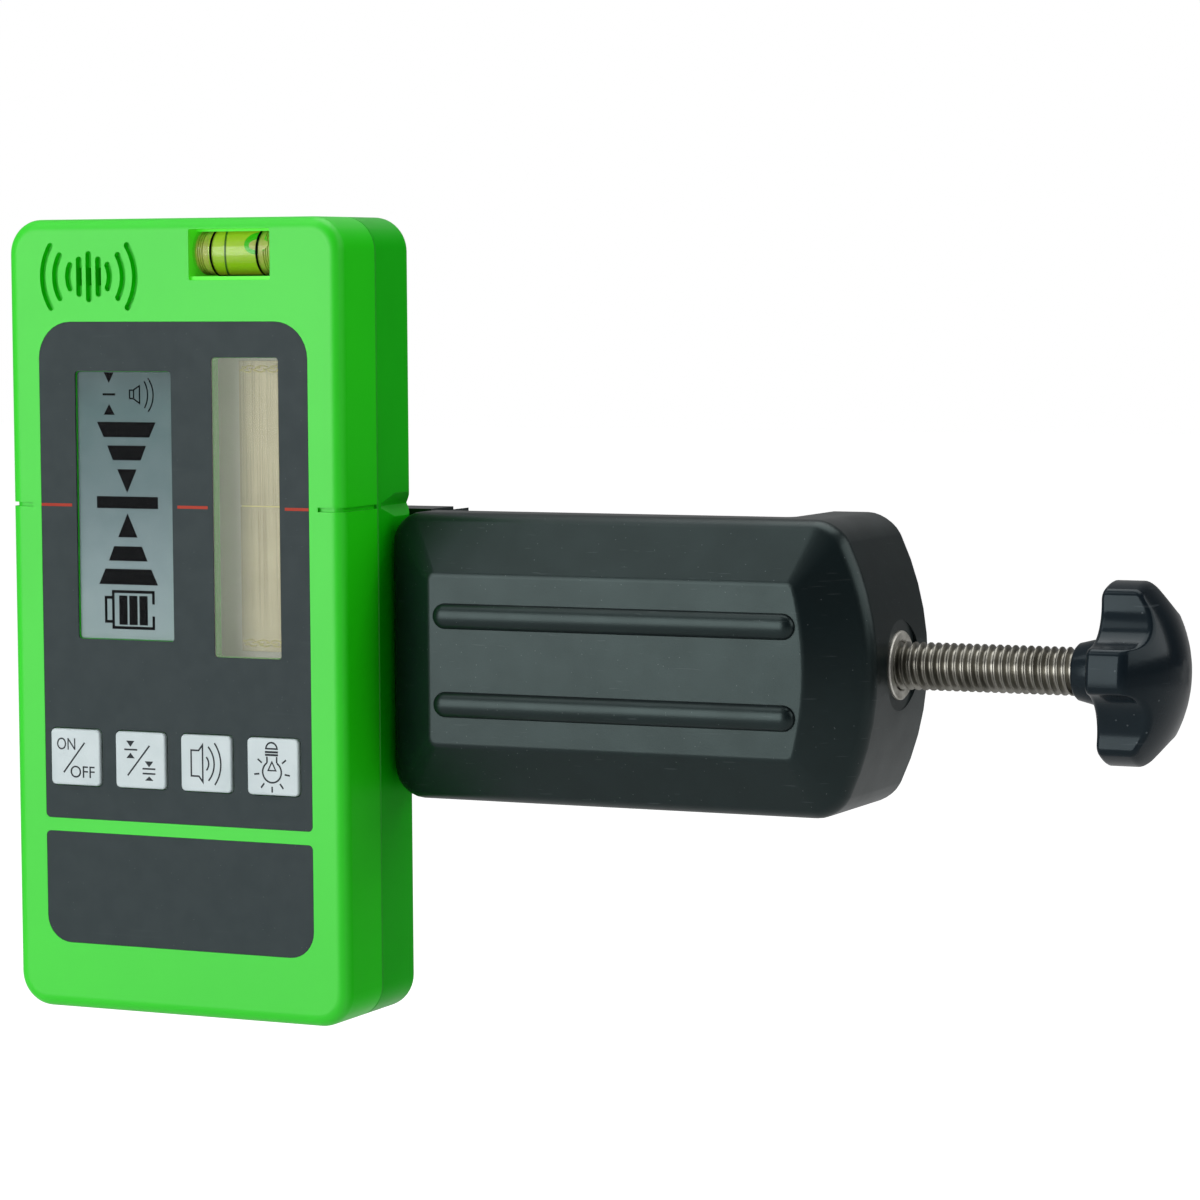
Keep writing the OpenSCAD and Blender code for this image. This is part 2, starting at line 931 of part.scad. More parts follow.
// The black lead runs behind the red one and ends above it
module lead_black() {
  color("black")
    lead(1);
}

module battery_door() {
  color("forestgreen") {
    intersection() {
      case_block();
      box(-door_w / 2, door_w / 2, door_y, rear_y, 0, door_h);
    }
    intersection() {
      case_block();
      box(-door_w / 2 - tongue, door_w / 2 + tongue, door_y, door_y + tongue_t, 0, door_h);
    }
    for (i = [0 : grip_count - 1])
      translate([0, 0, door_h - grip_drop - i * grip_pitch])
        box(-grip_w / 2, grip_w / 2, rear_y - fit, rear_y + grip_proud, -grip_t, 0);
  }
}

module mount_insert() {
  color("goldenrod")
    difference() {
      rod_y(mount_x, clamp_z, mount_insert_d, rear_y - mount_insert_len, rear_y - fit);
      rod_y(mount_x, clamp_z, mount_thread_d + 2 * fit, rear_y - 2 * mount_insert_len,
        rear_y + over);
    }
}

module mount_screw() {
  color("dimgray")
    difference() {
      union() {
        rod_y(mount_x, clamp_z, mount_thread_d, rear_y - mount_screw_reach, mount_back_y + washer_t);
        rod_y(mount_x, clamp_z, mount_head_d, mount_back_y + washer_t,
          mount_back_y + washer_t + mount_head_t);
      }
      for (i = [0 : flutes - 1])
        translate([mount_x, 0, clamp_z])
          rotate([0, i * 360 / flutes, 0])
            rod_y(mount_head_d / 2 + flute_d / 4, 0, flute_d, mount_back_y + washer_t + over,
              mount_back_y + washer_t + mount_head_t + over);
    }
}

module mount_washer() {
  color("silver")
    difference() {
      rod_y(mount_x, clamp_z, washer_d, mount_back_y, mount_back_y + washer_t);
      rod_y(mount_x, clamp_z, mount_thread_d + 2 * fit, mount_back_y - over,
        mount_back_y + washer_t + over);
    }
}

// Outline drawn round the clamp's middle: straight at the left, an arc at the right, rounded corners
module end_shape(x0, x1, h, r, corner) {
  mid_x = x1 - r;
  rise = h / 2 - corner;
  run_in = sqrt(pow(r - corner, 2) - rise * rise);
  translate([0, clamp_z]) {
    intersection() {
      translate([(x0 + x1) / 2, 0])
        round_rect(x1 - x0, h, corner);
      translate([x0, -h / 2])
        square([mid_x + run_in - x0, h]);
    }
    translate([mid_x, 0]) {
      for (side = [-1, 1])
        translate([run_in, side * rise])
          circle(r = corner);
      intersection() {
        circle(r = r);
        polygon([[0, 0], 2 * [run_in, -rise], 2 * [run_in, rise]]);
      }
    }
  }
}

module clamp_outline(inset = 0) {
  end_shape(clamp_x + inset, clamp_end - inset, clamp_h - 2 * inset, end_r - inset,
    plate_corner_r - inset);
}

// Part of the outline between two places along the clamp
module clamp_slice(x0, x1) {
  intersection() {
    clamp_outline();
    translate([x0, clamp_bottom - over])
      square([x1 - x0, clamp_h + 2 * over]);
  }
}

module field_outline() {
  end_shape(clamp_x + border_w, clamp_end - border_w, clamp_h - 2 * border_w, field_end_r,
    field_corner_r);
}

module rib_outline() {
  for (side = [-1, 1])
    translate([clamp_x + border_w + rib_margin + rib_len / 2, clamp_z + side * rib_pitch / 2])
      round_rect(rib_len, rib_h, rib_h / 2 - run);
}

module spine_pocket() {
  x0 = jaw_x + border_w;
  cell = (arm_x - border_w - x0 - (pocket_cells - 1) * pocket_wall) / pocket_cells;
  for (i = [0 : pocket_cells - 1])
    translate([x0 + i * (cell + pocket_wall), field_y + pocket_floor, clamp_bottom + pocket_rise])
      cube([cell, spine_y - field_y, clamp_h - 2 * pocket_rise]);
}

module clamp_frame() {
  color("darkslategray")
    difference() {
      union() {
        slab_y(rim_y, spine_y)
          clamp_outline();
        hull() {
          slab_y(rim_y, rim_y + over)
            clamp_outline(border_ledge);
          slab_y(field_y, rim_y)
            field_outline();
        }
        slab_y(field_y - rib_proud, field_y + over)
          rib_outline();
        slab_y(rim_y, arm_y)
          clamp_slice(arm_x, clamp_end + over);
        slab_y(rim_y, jaw_y)
          clamp_slice(clamp_x - over, jaw_x);
        box(mount_left, jaw_x, rear_y, mount_back_y, clamp_bottom, clamp_bottom + clamp_h);
        for (side = [-1, 1])
          rod_y(mount_x, clamp_z + side * pin_spread, pin_d, rear_y - pin_len, rear_y + over);
      }
      spine_pocket();
      rod_x(screw_y, clamp_z, insert_d + fit, arm_x - over, clamp_end + over);
      rod_x(screw_y, clamp_z, spot_d, spot_x, clamp_end + over);
      rod_y(mount_x, clamp_z, mount_thread_d + 4 * fit, rear_y - over, mount_back_y + over);
    }
}

module thread_insert() {
  color("silver")
    difference() {
      rod_x(screw_y, clamp_z, insert_d, arm_x, insert_x);
      rod_x(screw_y, clamp_z, screw_d + 2 * fit, arm_x - over, insert_x + over);
    }
}

// Thread cut as ridges of the true pitch and depth
module thread_profile(length) {
  turns = floor(length / screw_pitch);
  root_r = screw_d / 2 - thread_h;
  polygon(concat(
    [[0, 0], [root_r, 0]],
    [for (i = [0 : turns - 1], half = [0, 1])
      [half == 0 ? root_r : screw_d / 2, (i + (half + 1) / 2) * screw_pitch]],
    [[root_r, length], [0, length]]
  ));
}

module clamp_screw() {
  color("gainsboro") {
    translate([shoe_x1, screw_y, clamp_z])
      rotate([0, 90, 0])
        rotate_extrude()
          thread_profile(knob_x + knob_bore - fit - shoe_x1);
    difference() {
      rod_x(screw_y, clamp_z, tip_d, tip_x, shoe_x1 + over);
      difference() {
        rod_x(screw_y, clamp_z, 2 * tip_d, clip_x - run, clip_x + clip_t + run);
        rod_x(screw_y, clamp_z, clip_bore - 2 * run, tip_x - over, shoe_x1);
      }
    }
  }
}

module knob_outline() {
  difference() {
    circle(d = knob_d);
    for (i = [0 : knob_lobes - 1])
      rotate(i * 360 / knob_lobes + knob_phase)
        translate([knob_d / 2 - scallop_depth + scallop_r, 0])
          circle(r = scallop_r);
  }
}

module star_knob() {
  dome_r = (knob_d * knob_d / 4 + knob_dome * knob_dome) / (2 * knob_dome);
  color("black")
    difference() {
      union() {
        translate([knob_x, screw_y, clamp_z])
          rotate([0, 90, 0])
            intersection() {
              linear_extrude(knob_t + knob_dome)
                knob_outline();
              translate([0, 0, knob_t + knob_dome - dome_r])
                sphere(r = dome_r, $fn = 96);
            }
        rod_x(screw_y, clamp_z, collar_d, collar_x, knob_x + over);
      }
      rod_x(screw_y, clamp_z, screw_d + 2 * fit, collar_x - over, knob_x + knob_bore);
    }
}

module pressure_shoe() {
  color("black")
    difference() {
      slab_y(shoe_y0, shoe_y1)
        translate([(shoe_x0 + shoe_x1) / 2, clamp_z])
          round_rect(shoe_t, shoe_h, shoe_corner_r);
      rod_x(screw_y, clamp_z, tip_d + 2 * fit, shoe_x0 - over, shoe_x1 + over);
      rod_x(screw_y, clamp_z, clip_d + 2 * clip_room, shoe_x0 - over, pocket_x);
    }
}

module shoe_pad() {
  color("dimgray")
    slab_y(shoe_y0 + pad_inset, shoe_y1 - pad_inset)
      translate([shoe_x0 - pad_t / 2, clamp_z])
        square([pad_t, shoe_h - 2 * pad_inset], center = true);
}

module shoe_clip() {
  color("silver")
    difference() {
      rod_x(screw_y, clamp_z, clip_d, clip_x, clip_x + clip_t);
      rod_x(screw_y, clamp_z, clip_bore, clip_x - over, clip_x + clip_t + over);
      box(clip_x - over, clip_x + clip_t + over, screw_y - clip_slot / 2, screw_y + clip_slot / 2,
        clamp_z - clip_d, clamp_z);
    }
}

front_case();
rear_case();
case_seal();
case_screws();
front_label();
lower_label();
display_window();
sensor_window();
lcd_glass();
lcd_backlight();
lcd_frame();
contact_strips();
main_board();
board_screws();
controller_chip();
switch_bodies();
photocell_upper();
photocell_lower();
sensor_board();
vial_tube();
vial_liquid();
vial_plugs();
vial_rings();
buzzer();
buzzer_gasket();
key_power();
key_accuracy();
key_sound();
key_light();
plunger_power();
plunger_accuracy();
plunger_sound();
plunger_light();
battery();
battery_snap();
lead_red();
lead_black();
battery_door();
mount_insert();
mount_screw();
mount_washer();
clamp_frame();
thread_insert();
clamp_screw();
star_knob();
pressure_shoe();
shoe_pad();
shoe_clip();
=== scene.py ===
import math

import bmesh
import bpy
from mathutils import Matrix, Vector


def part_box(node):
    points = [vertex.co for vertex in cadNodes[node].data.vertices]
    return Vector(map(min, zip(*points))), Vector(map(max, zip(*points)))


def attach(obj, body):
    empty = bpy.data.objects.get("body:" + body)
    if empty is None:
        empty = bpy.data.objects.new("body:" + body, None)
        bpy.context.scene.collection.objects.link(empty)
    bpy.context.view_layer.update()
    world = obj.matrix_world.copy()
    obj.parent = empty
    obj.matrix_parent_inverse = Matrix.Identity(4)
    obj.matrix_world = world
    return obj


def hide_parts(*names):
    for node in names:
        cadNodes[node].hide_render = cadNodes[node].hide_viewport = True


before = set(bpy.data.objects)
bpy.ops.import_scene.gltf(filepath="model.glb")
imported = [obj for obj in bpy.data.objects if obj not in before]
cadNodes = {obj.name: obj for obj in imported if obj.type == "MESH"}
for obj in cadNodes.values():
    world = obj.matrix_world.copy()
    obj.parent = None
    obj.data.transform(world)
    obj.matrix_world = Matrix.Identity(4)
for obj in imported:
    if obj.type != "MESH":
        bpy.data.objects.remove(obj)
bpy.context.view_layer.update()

toMetres = 0.001  # pieces are shaped in millimetres and scaled once, when finished
merge = 0.0005  # millimetres
overlap = 0.3  # how far two bodies reach into each other before they are joined
past = 1.0  # how far a cutting body, or an end that is joined on, reaches past a face
axes = "xyz"


def spanOf(node):
    low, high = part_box(node)
    return low / toMetres, high / toMetres


def at(axis):
    return axes.index(axis)


def midOf(edge):
    return (edge.verts[0].co + edge.verts[1].co) / 2


def direction(angle):
    return Vector((math.cos(angle), math.sin(angle)))


def block(low, high):
    low, high = Vector(low), Vector(high)
    bm = bmesh.new()
    bmesh.ops.create_cube(bm, size=1)
    bmesh.ops.scale(bm, vec=high - low, verts=bm.verts)
    bmesh.ops.translate(bm, vec=(low + high) / 2, verts=bm.verts)
    return bm


def bevelEdges(bm, edges, width, segments=3):
    bmesh.ops.bevel(bm, geom=list(edges), offset=width, offset_type="OFFSET", segments=segments,
                    profile=0.5, affect="EDGES", clamp_overlap=True, material=-1)


def roundCorners(bm, axis, radius, pick=None, segments=8):
    along = at(axis)
    edges = []
    for edge in bm.edges:
        run = edge.verts[1].co - edge.verts[0].co
        if abs(run[along]) > 0.99 * run.length and (pick is None or pick(midOf(edge))):
            edges.append(edge)
    bevelEdges(bm, edges, radius, segments)


def rimEdges(bm, axis, place):
    along = at(axis)
    return [e for e in bm.edges if all(abs(v.co[along] - place) < 0.001 for v in e.verts)]


def sharpEdges(bm, angle, pick=None):
    limit = math.radians(angle)
    found = [e for e in bm.edges if len(e.link_faces) == 2 and e.calc_face_angle() > limit]
    return [e for e in found if pick is None or pick(midOf(e))]


def prism(points, axis, start, end):
    # an outline drawn square to the axis, filled from start to end
    along = at(axis)
    bm = bmesh.new()
    corners = []
    for point in points:
        place = list(point)
        place.insert(along, start)
        corners.append(bm.verts.new(place))
    face = bm.faces.new(corners)
    grown = bmesh.ops.extrude_face_region(bm, geom=[face])["geom"]
    push = Vector((0, 0, 0))
    push[along] = end - start
    bmesh.ops.translate(bm, vec=push, verts=[v for v in grown if isinstance(v, bmesh.types.BMVert)])
    return bm


def sliceAt(bm, place, normal, clear=False):
    return bmesh.ops.bisect_plane(bm, geom=[*bm.verts, *bm.edges, *bm.faces], dist=merge, plane_co=place,
                                  plane_no=normal, clear_outer=clear)["geom_cut"]


def turnAxis(axis):
    return Vector([float(name == axis) for name in axes])


def drawProfile(bm, profile, centre, axis, closed=False):
    # profile holds places along the axis with their radius
    verts = []
    for place, radius in profile:
        point = Vector(centre)
        point[at(axis)] = place
        point.z += radius
        verts.append(bm.verts.new(point))
    ends = verts[1:] + verts[:1] if closed else verts[1:]
    return verts + [bm.edges.new(pair) for pair in zip(verts, ends)]


def lathe(profile, centre, axis, steps=64, closed=False):
    bm = bmesh.new()
    line = drawProfile(bm, profile, centre, axis, closed)
    bmesh.ops.spin(bm, geom=line, cent=centre, axis=turnAxis(axis), angle=math.tau, steps=steps,
                   use_merge=True)
    bmesh.ops.remove_doubles(bm, verts=bm.verts, dist=merge)
    return bm


def rod(centre, axis, radius, start, end, steps=48):
    return lathe([(start, 0), (start, radius), (end, radius), (end, 0)], centre, axis, steps)


def tube(centre, axis, inner, outer, start, end, steps=64, edge=0.0):
    profile = [(start + edge, outer), (start, outer - edge), (start, inner + edge), (start + edge, inner),
               (end - edge, inner), (end, inner + edge), (end, outer - edge), (end - edge, outer)]
    if not edge:
        profile = profile[1:3] + profile[5:7]
    return lathe(profile, centre, axis, steps, closed=True)


def meshFrom(name, bm):
    mesh = bpy.data.meshes.new(name)
    bm.to_mesh(mesh)
    bm.free()
    return mesh


def newObject(name, data):
    thing = bpy.data.objects.new(name, data)
    bpy.context.scene.collection.objects.link(thing)
    return thing


def addPart(whole, part):
    mesh = meshFrom("part", part)
    whole.from_mesh(mesh)
    bpy.data.meshes.remove(mesh)


def joined(parts):
    whole = bmesh.new()
    for part in parts:
        addPart(whole, part)
    return whole


def looseObject(bm):
    bmesh.ops.recalc_face_normals(bm, faces=bm.faces)
    return newObject("loose", meshFrom("loose", bm))


def combine(bm, tools, operation="DIFFERENCE"):
    # the tools of one call stay clear of each other
    base, other = looseObject(bm), looseObject(joined(tools))
    step = base.modifiers.new("step", "BOOLEAN")
    step.operation = operation
    step.solver = "EXACT"
    step.object = other
    result = bmesh.new()
    result.from_object(base, bpy.context.evaluated_depsgraph_get())
    for loose in (base, other):
        mesh = loose.data
        bpy.data.objects.remove(loose)
        bpy.data.meshes.remove(mesh)
    bmesh.ops.remove_doubles(result, verts=result.verts, dist=merge)
    bmesh.ops.dissolve_degenerate(result, dist=merge, edges=result.edges)
    return result


def nodeCopy(node):
    bm = bmesh.new()
    bm.from_mesh(cadNodes[node].data)
    bmesh.ops.scale(bm, vec=(1 / toMetres,) * 3, verts=bm.verts)
    bmesh.ops.remove_doubles(bm, verts=bm.verts, dist=0.002)
    bmesh.ops.dissolve_limit(bm, angle_limit=math.radians(1), verts=bm.verts, edges=bm.edges)
    return bm


def finishPiece(name, bm, finish, body, stands=(), sharp=32):
    bmesh.ops.remove_doubles(bm, verts=bm.verts, dist=merge)
    bmesh.ops.recalc_face_normals(bm, faces=bm.faces)
    bmesh.ops.scale(bm, vec=(toMetres,) * 3, verts=bm.verts)
    mesh = meshFrom(name, bm)
    mesh.shade_smooth()
    mesh.set_sharp_from_angle(angle=math.radians(sharp))
    mesh.materials.append(finishes[finish])
    piece = newObject(name, mesh)
    flat = piece.modifiers.new("flatFaces", "WEIGHTED_NORMAL")
    flat.keep_sharp = True
    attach(piece, body)
    if stands:
        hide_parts(*stands)
    return piece


# Finishes

def tint(red, green, blue):
    # a screen colour as the linear value that shaders take
    parts = [c / 255 for c in (red, green, blue)]
    return tuple(c / 12.92 if c < 0.04045 else ((c + 0.055) / 1.055) ** 2.4 for c in parts) + (1.0,)


def feed(tree, socket, value):
    if isinstance(value, bpy.types.NodeSocket):
        tree.links.new(value, socket)
    else:
        socket.default_value = value


def addNode(tree, kind, values=None, **settings):
    node = tree.nodes.new("ShaderNode" + kind)
    for name, value in settings.items():
        setattr(node, name, value)
    for name, value in (values or {}).items():
        feed(tree, node.inputs[name], value)
    return node


def mixColour(tree, factor, first, second):
    node = addNode(tree, "Mix", data_type="RGBA")
    for index, value in ((0, factor), (6, first), (7, second)):
        feed(tree, node.inputs[index], value)
    return node.outputs[2]


def mapRange(tree, value, low, high, toLow=0.0, toHigh=1.0):
    node = addNode(tree, "MapRange", {"Value": value, "From Min": low, "From Max": high,
                                      "To Min": toLow, "To Max": toHigh})
    return node.outputs["Result"]


def compute(tree, operation, first, second=0.0):
    node = addNode(tree, "Math", operation=operation)
    feed(tree, node.inputs[0], first)
    feed(tree, node.inputs[1], second)
    return node.outputs[0]


def objectPlace(tree):
    return addNode(tree, "TexCoord").outputs["Object"]


def noise(tree, where, scale, detail):
    return addNode(tree, "TexNoise", {"Vector": where, "Scale": scale, "Detail": detail}).outputs["Fac"]


def newGroup(name, takes, gives):
    group = bpy.data.node_groups.new(name, "ShaderNodeTree")
    for label, kind, value in takes:
        socket = group.interface.new_socket(label, in_out="INPUT", socket_type="NodeSocket" + kind)
        socket.default_value = value
    for label, kind in gives:
        group.interface.new_socket(label, in_out="OUTPUT", socket_type="NodeSocket" + kind)
    entry = group.nodes.new("NodeGroupInput")
    leave = group.nodes.new("NodeGroupOutput")
    return group, entry.outputs, leave.inputs


def makeMouldedGrain():
    group, take, give = newGroup(
        "mouldedGrain",
        [("Light", "Color", (0.5, 0.5, 0.5, 1)), ("Dark", "Color", (0.4, 0.4, 0.4, 1)),
         ("Blotch Scale", "Float", 40.0), ("Grain Scale", "Float", 3000.0),
         ("Rough Low", "Float", 0.3), ("Rough High", "Float", 0.4)],
        [("Color", "Color"), ("Roughness", "Float"), ("Height", "Float")])
    where = objectPlace(group)
    grain = noise(group, where, take["Grain Scale"], 2.0)
    spread = mapRange(group, noise(group, where, take["Blotch Scale"], 4.0), 0.35, 0.65)
    feed(group, give["Color"], mixColour(group, spread, take["Light"], take["Dark"]))
    mottle = compute(group, "MULTIPLY", spread, mapRange(group, grain, 0.3, 0.7, 0.5, 1.0))
    feed(group, give["Roughness"], mapRange(group, mottle, 0.0, 1.0, take["Rough Low"], take["Rough High"]))
    feed(group, give["Height"], grain)
    return group


def makeFineMarks():
    group, take, give = newGroup(
        "fineMarks",
        [("Speck Scale", "Float", 900.0), ("Speck Size", "Float", 0.16), ("Scratch Scale", "Float", 90.0)],
        [("Specks", "Float"), ("Scratches", "Float")])
    where = objectPlace(group)
    cells = addNode(group, "TexVoronoi", {"Vector": where, "Scale": take["Speck Scale"]})
    chance = addNode(group, "SeparateColor", {"Color": cells.outputs["Color"]}).outputs[0]
    dots = compute(group, "LESS_THAN", cells.outputs["Distance"], take["Speck Size"])
    kept = compute(group, "GREATER_THAN", chance, 0.72)
    feed(group, give["Specks"], compute(group, "MULTIPLY", dots, kept))
    lines = []
    for turn in (0.35, 1.15):
        lean = addNode(group, "Mapping", {"Vector": where, "Rotation": (0.0, turn, 0.3),
                                          "Scale": (1.0, 1.0, 14.0)}).outputs[0]
        lines.append(mapRange(group, noise(group, lean, take["Scratch Scale"], 1.0), 0.735, 0.775))
    feed(group, give["Scratches"], compute(group, "MAXIMUM", *lines))
    return group


def makeEdgeRub():
    group, take, give = newGroup(
        "edgeRub",
        [("Start", "Float", 0.53), ("Full", "Float", 0.6), ("Patch Scale", "Float", 160.0)],
        [("Mask", "Float")])
    bend = addNode(group, "NewGeometry").outputs["Pointiness"]
    worn = mapRange(group, bend, take["Start"], take["Full"])
    patches = mapRange(group, noise(group, objectPlace(group), take["Patch Scale"], 3.0), 0.38, 0.62)
    feed(group, give["Mask"], compute(group, "MULTIPLY", worn, patches))
    return group


mouldedGrain = makeMouldedGrain()
fineMarks = makeFineMarks()
edgeRub = makeEdgeRub()


def addGroup(tree, group, values):
    node = tree.nodes.new("ShaderNodeGroup")
    node.node_tree = group
    for name, value in values.items():
        feed(tree, node.inputs[name], value)
    return node.outputs


def newFinish(name, plain=None):
    finish = bpy.data.materials.new(name)
    finish.use_nodes = True
    tree = finish.node_tree
    shader = tree.nodes["Principled BSDF"]
    for label, value in (plain or {}).items():
        shader.inputs[label].default_value = value
    return finish, tree, shader


def dress(tree, shader, colour, rough):
    feed(tree, shader.inputs["Base Color"], colour)
    feed(tree, shader.inputs["Roughness"], rough)


def bumpFrom(tree, shader, height, strength, distance):
    bump = addNode(tree, "Bump", {"Height": height, "Strength": strength, "Distance": distance})
    feed(tree, shader.inputs["Normal"], bump.outputs["Normal"])


def plastic(name, look):
    look = {**usualLook, **look}
    finish, tree, shader = newFinish(name, look.get("plain"))
    grain = addGroup(tree, mouldedGrain, {
        "Light": tint(*look["light"]), "Dark": tint(*look["dark"]), "Blotch Scale": look["blotch"],
        "Grain Scale": look["grain"], "Rough Low": look["rough"][0], "Rough High": look["rough"][1]})
    colour, height, rough = grain["Color"], grain["Height"], grain["Roughness"]
    if "rub" in look:
        rub = addGroup(tree, edgeRub, {"Start": look["rub"]["start"], "Full": look["rub"]["full"]})
        colour = mixColour(tree, compute(tree, "MULTIPLY", rub["Mask"], look["rub"]["amount"]),
                           colour, tint(*look["rub"]["colour"]))
    if "marks" in look:
        marks = addGroup(tree, fineMarks, {"Speck Scale": look["marks"]["speckScale"],
                                           "Speck Size": look["marks"]["speckSize"],
                                           "Scratch Scale": look["marks"]["scratchScale"]})
        faint = compute(tree, "MAXIMUM", compute(tree, "MULTIPLY", marks["Specks"], look["marks"]["specks"]),
                        compute(tree, "MULTIPLY", marks["Scratches"], look["marks"]["scratches"]))
        colour = mixColour(tree, faint, colour, tint(*look["marks"]["colour"]))
        rough = compute(tree, "ADD", rough, compute(tree, "MULTIPLY", faint, 0.2))
    if "sideCoat" in look:
        # the sides are less polished than the faces
        facing = addNode(tree, "TexCoord").outputs["Normal"]
        lean = addNode(tree, "SeparateXYZ", {"Vector": facing}).outputs["X"]
        gloss = mapRange(tree, compute(tree, "ABSOLUTE", lean), 0.72, 0.99, 1.0, look["sideCoat"])
        feed(tree, shader.inputs["Coat Weight"], gloss)
    dress(tree, shader, colour, rough)
    bumpFrom(tree, shader, height, *look["bump"])
    return finish


def metal(name, look):
    # brushed along one axis, with a slow change of tone
    finish, tree, shader = newFinish(name, {"Metallic": 1.0})
    where = objectPlace(tree)
    drawn = addNode(tree, "Mapping", {"Vector": where, "Scale": look["brush"]}).outputs[0]
    lines = noise(tree, drawn, 1.0, 3.0)
    slow = noise(tree, where, 120.0, 3.0)
    tone = compute(tree, "ADD", compute(tree, "MULTIPLY", lines, 0.6), compute(tree, "MULTIPLY", slow, 0.4))
    spread = mapRange(tree, tone, 0.38, 0.62)
    dress(tree, shader, mixColour(tree, spread, tint(*look["light"]), tint(*look["dark"])),
          mapRange(tree, tone, 0.35, 0.65, *look["rough"]))
    bumpFrom(tree, shader, lines, *look["bump"])
    return finish


usualLook = {"blotch": 40.0, "grain": 3000.0, "bump": (0.1, 0.0001)}
caseLook = {"rough": (0.42, 0.5), "blotch": 30.0, "grain": 2600.0}
inkLook = {"grain": 8000.0, "bump": (0.05, 0.00002)}
looks = {
    "frontGreen": {**caseLook, "light": (34, 221, 14), "dark": (30, 217, 11), "sideCoat": 0.08,
                   "plain": {"Specular IOR Level": 0.05, "Coat Roughness": 0.46, "Coat IOR": 1.58}},
    # painted shade: the same green plastic as the front, made darker on the rear shell and door
    "rearGreenShaded": {**caseLook, "light": (12, 190, 6), "dark": (10, 184, 5), "sideCoat": 0.08,
                  "plain": {"Specular IOR Level": 0.05, "Coat Roughness": 0.46, "Coat IOR": 1.5}},
    "labelFilm": {"light": (46, 58, 60), "dark": (44, 56, 58), "rough": (0.5, 0.56), "blotch": 300.0,
                  "grain": 6000.0, "bump": (0.06, 0.00005), "plain": {"Specular IOR Level": 0.22},
                  "marks": {"speckScale": 800.0, "speckSize": 0.07, "scratchScale": 40.0, "specks": 0.3,
                            "scratches": 0.02, "colour": (120, 130, 132)}},
    # painted light: a lighter, glowing green for the faces round the vial window
    "jambPaintedGlow": {**caseLook, "light": (84, 226, 44), "dark": (78, 220, 40),
                  "plain": {"Emission Color": tint(70, 200, 30), "Emission Strength": 0.4}},
    "keyPlastic": {"light": (203, 216, 218), "dark": (197, 211, 213), "rough": (0.34, 0.46), "blotch": 160.0,
                   "grain": 5000.0, "bump": (0.12, 0.00005)},
    "clampBlack": {"light": (16, 25, 27), "dark": (13, 21, 23), "rough": (0.31, 0.36), "blotch": 140.0,
                   "grain": 3600.0, "bump": (0.12, 0.0001),
                   "plain": {"Specular IOR Level": 0.42, "Specular Tint": (0.76, 0.99, 0.96, 1)},
                   "rub": {"start": 0.53, "full": 0.62, "amount": 0.04, "colour": (110, 118, 120)},
                   "marks": {"speckScale": 900.0, "speckSize": 0.1, "scratchScale": 150.0, "specks": 0.32,
                             "scratches": 0.1, "colour": (120, 128, 130)}},
    "knobBlack": {"light": (24, 33, 39), "dark": (20, 28, 34), "rough": (0.13, 0.22), "blotch": 90.0,
                  "grain": 2200.0, "bump": (0.05, 0.0001),
                  "plain": {"Specular IOR Level": 0.2, "Specular Tint": (0.78, 0.95, 1.0, 1)},
                  "marks": {"speckScale": 500.0, "speckSize": 0.1, "scratchScale": 70.0, "specks": 0.25,
                            "scratches": 0.08, "colour": (130, 138, 142)}},
    "whitePlastic": {"light": (226, 228, 226), "dark": (216, 219, 217), "rough": (0.4, 0.5)},
    "darkPlastic": {"light": (40, 42, 44), "dark": (33, 35, 37), "rough": (0.4, 0.52),
                    "bump": (0.12, 0.0001)},
    "rubber": {"light": (44, 45, 46), "dark": (36, 37, 38), "rough": (0.7, 0.85), "grain": 1800.0,
               "bump": (0.35, 0.0002)},
    "plungerOrange": {"light": (226, 140, 52), "dark": (214, 128, 44), "rough": (0.4, 0.5)},
    "boardGreen": {"light": (34, 98, 56), "dark": (24, 82, 46), "rough": (0.3, 0.42), "blotch": 300.0,
                   "grain": 1600.0, "bump": (0.2, 0.0001)},
    # painted light: near white, lighter than the carrier's own grey, against the shade cast by the window's
    # jamb
    "carrierGrey": {"light": (250, 248, 240), "dark": (240, 239, 230), "rough": (0.45, 0.6), "blotch": 120.0},
    "batteryCan": {"light": (92, 98, 104), "dark": (80, 86, 92), "rough": (0.25, 0.35),
                   "bump": (0.08, 0.0001)},
    "redWire": {"light": (196, 36, 30), "dark": (180, 30, 26), "rough": (0.4, 0.5)},
    "blackWire": {"light": (26, 26, 28), "dark": (20, 20, 22), "rough": (0.4, 0.5)},
    "goldDots": {**inkLook, "light": (255, 240, 140), "dark": (236, 220, 112), "rough": (0.3, 0.4)},
    "legendInk": {**inkLook, "light": (52, 58, 62), "dark": (45, 51, 55), "rough": (0.5, 0.6),
                  "plain": {"Specular IOR Level": 0.15}},
    "segmentInk": {**inkLook, "light": (8, 10, 12), "dark": (5, 6, 8), "rough": (0.5, 0.6),
                   "plain": {"Specular IOR Level": 0.0}},
    "markRed": {**inkLook, "light": (177, 57, 35), "dark": (168, 50, 31), "rough": (0.45, 0.55),
                "plain": {"Specular IOR Level": 0.2}},
    # painted light: lighter than the plugs' own olive, making up for their shade inside the tube
    "vialPlug": {"light": (176, 186, 84), "dark": (158, 170, 64), "rough": (0.3, 0.4)},
    # painted light: the bubble's green rim and pale core stand for light bent through the air in it
    "bubbleRimPaintedLight": {"light": (14, 200, 10), "dark": (40, 196, 30), "rough": (0.2, 0.3), "blotch": 500.0,
                    "bump": (0.02, 0.00002)},
    "bubbleCorePaintedLight": {"light": (206, 200, 128), "dark": (180, 190, 92), "rough": (0.2, 0.3), "blotch": 500.0,
                   "bump": (0.02, 0.00002)},
    "farGreen": {"light": (4, 92, 16), "dark": (3, 80, 12), "rough": (0.3, 0.4), "bump": (0.02, 0.00002)},
}
finishes = {name: plastic(name, look) for name, look in looks.items()}
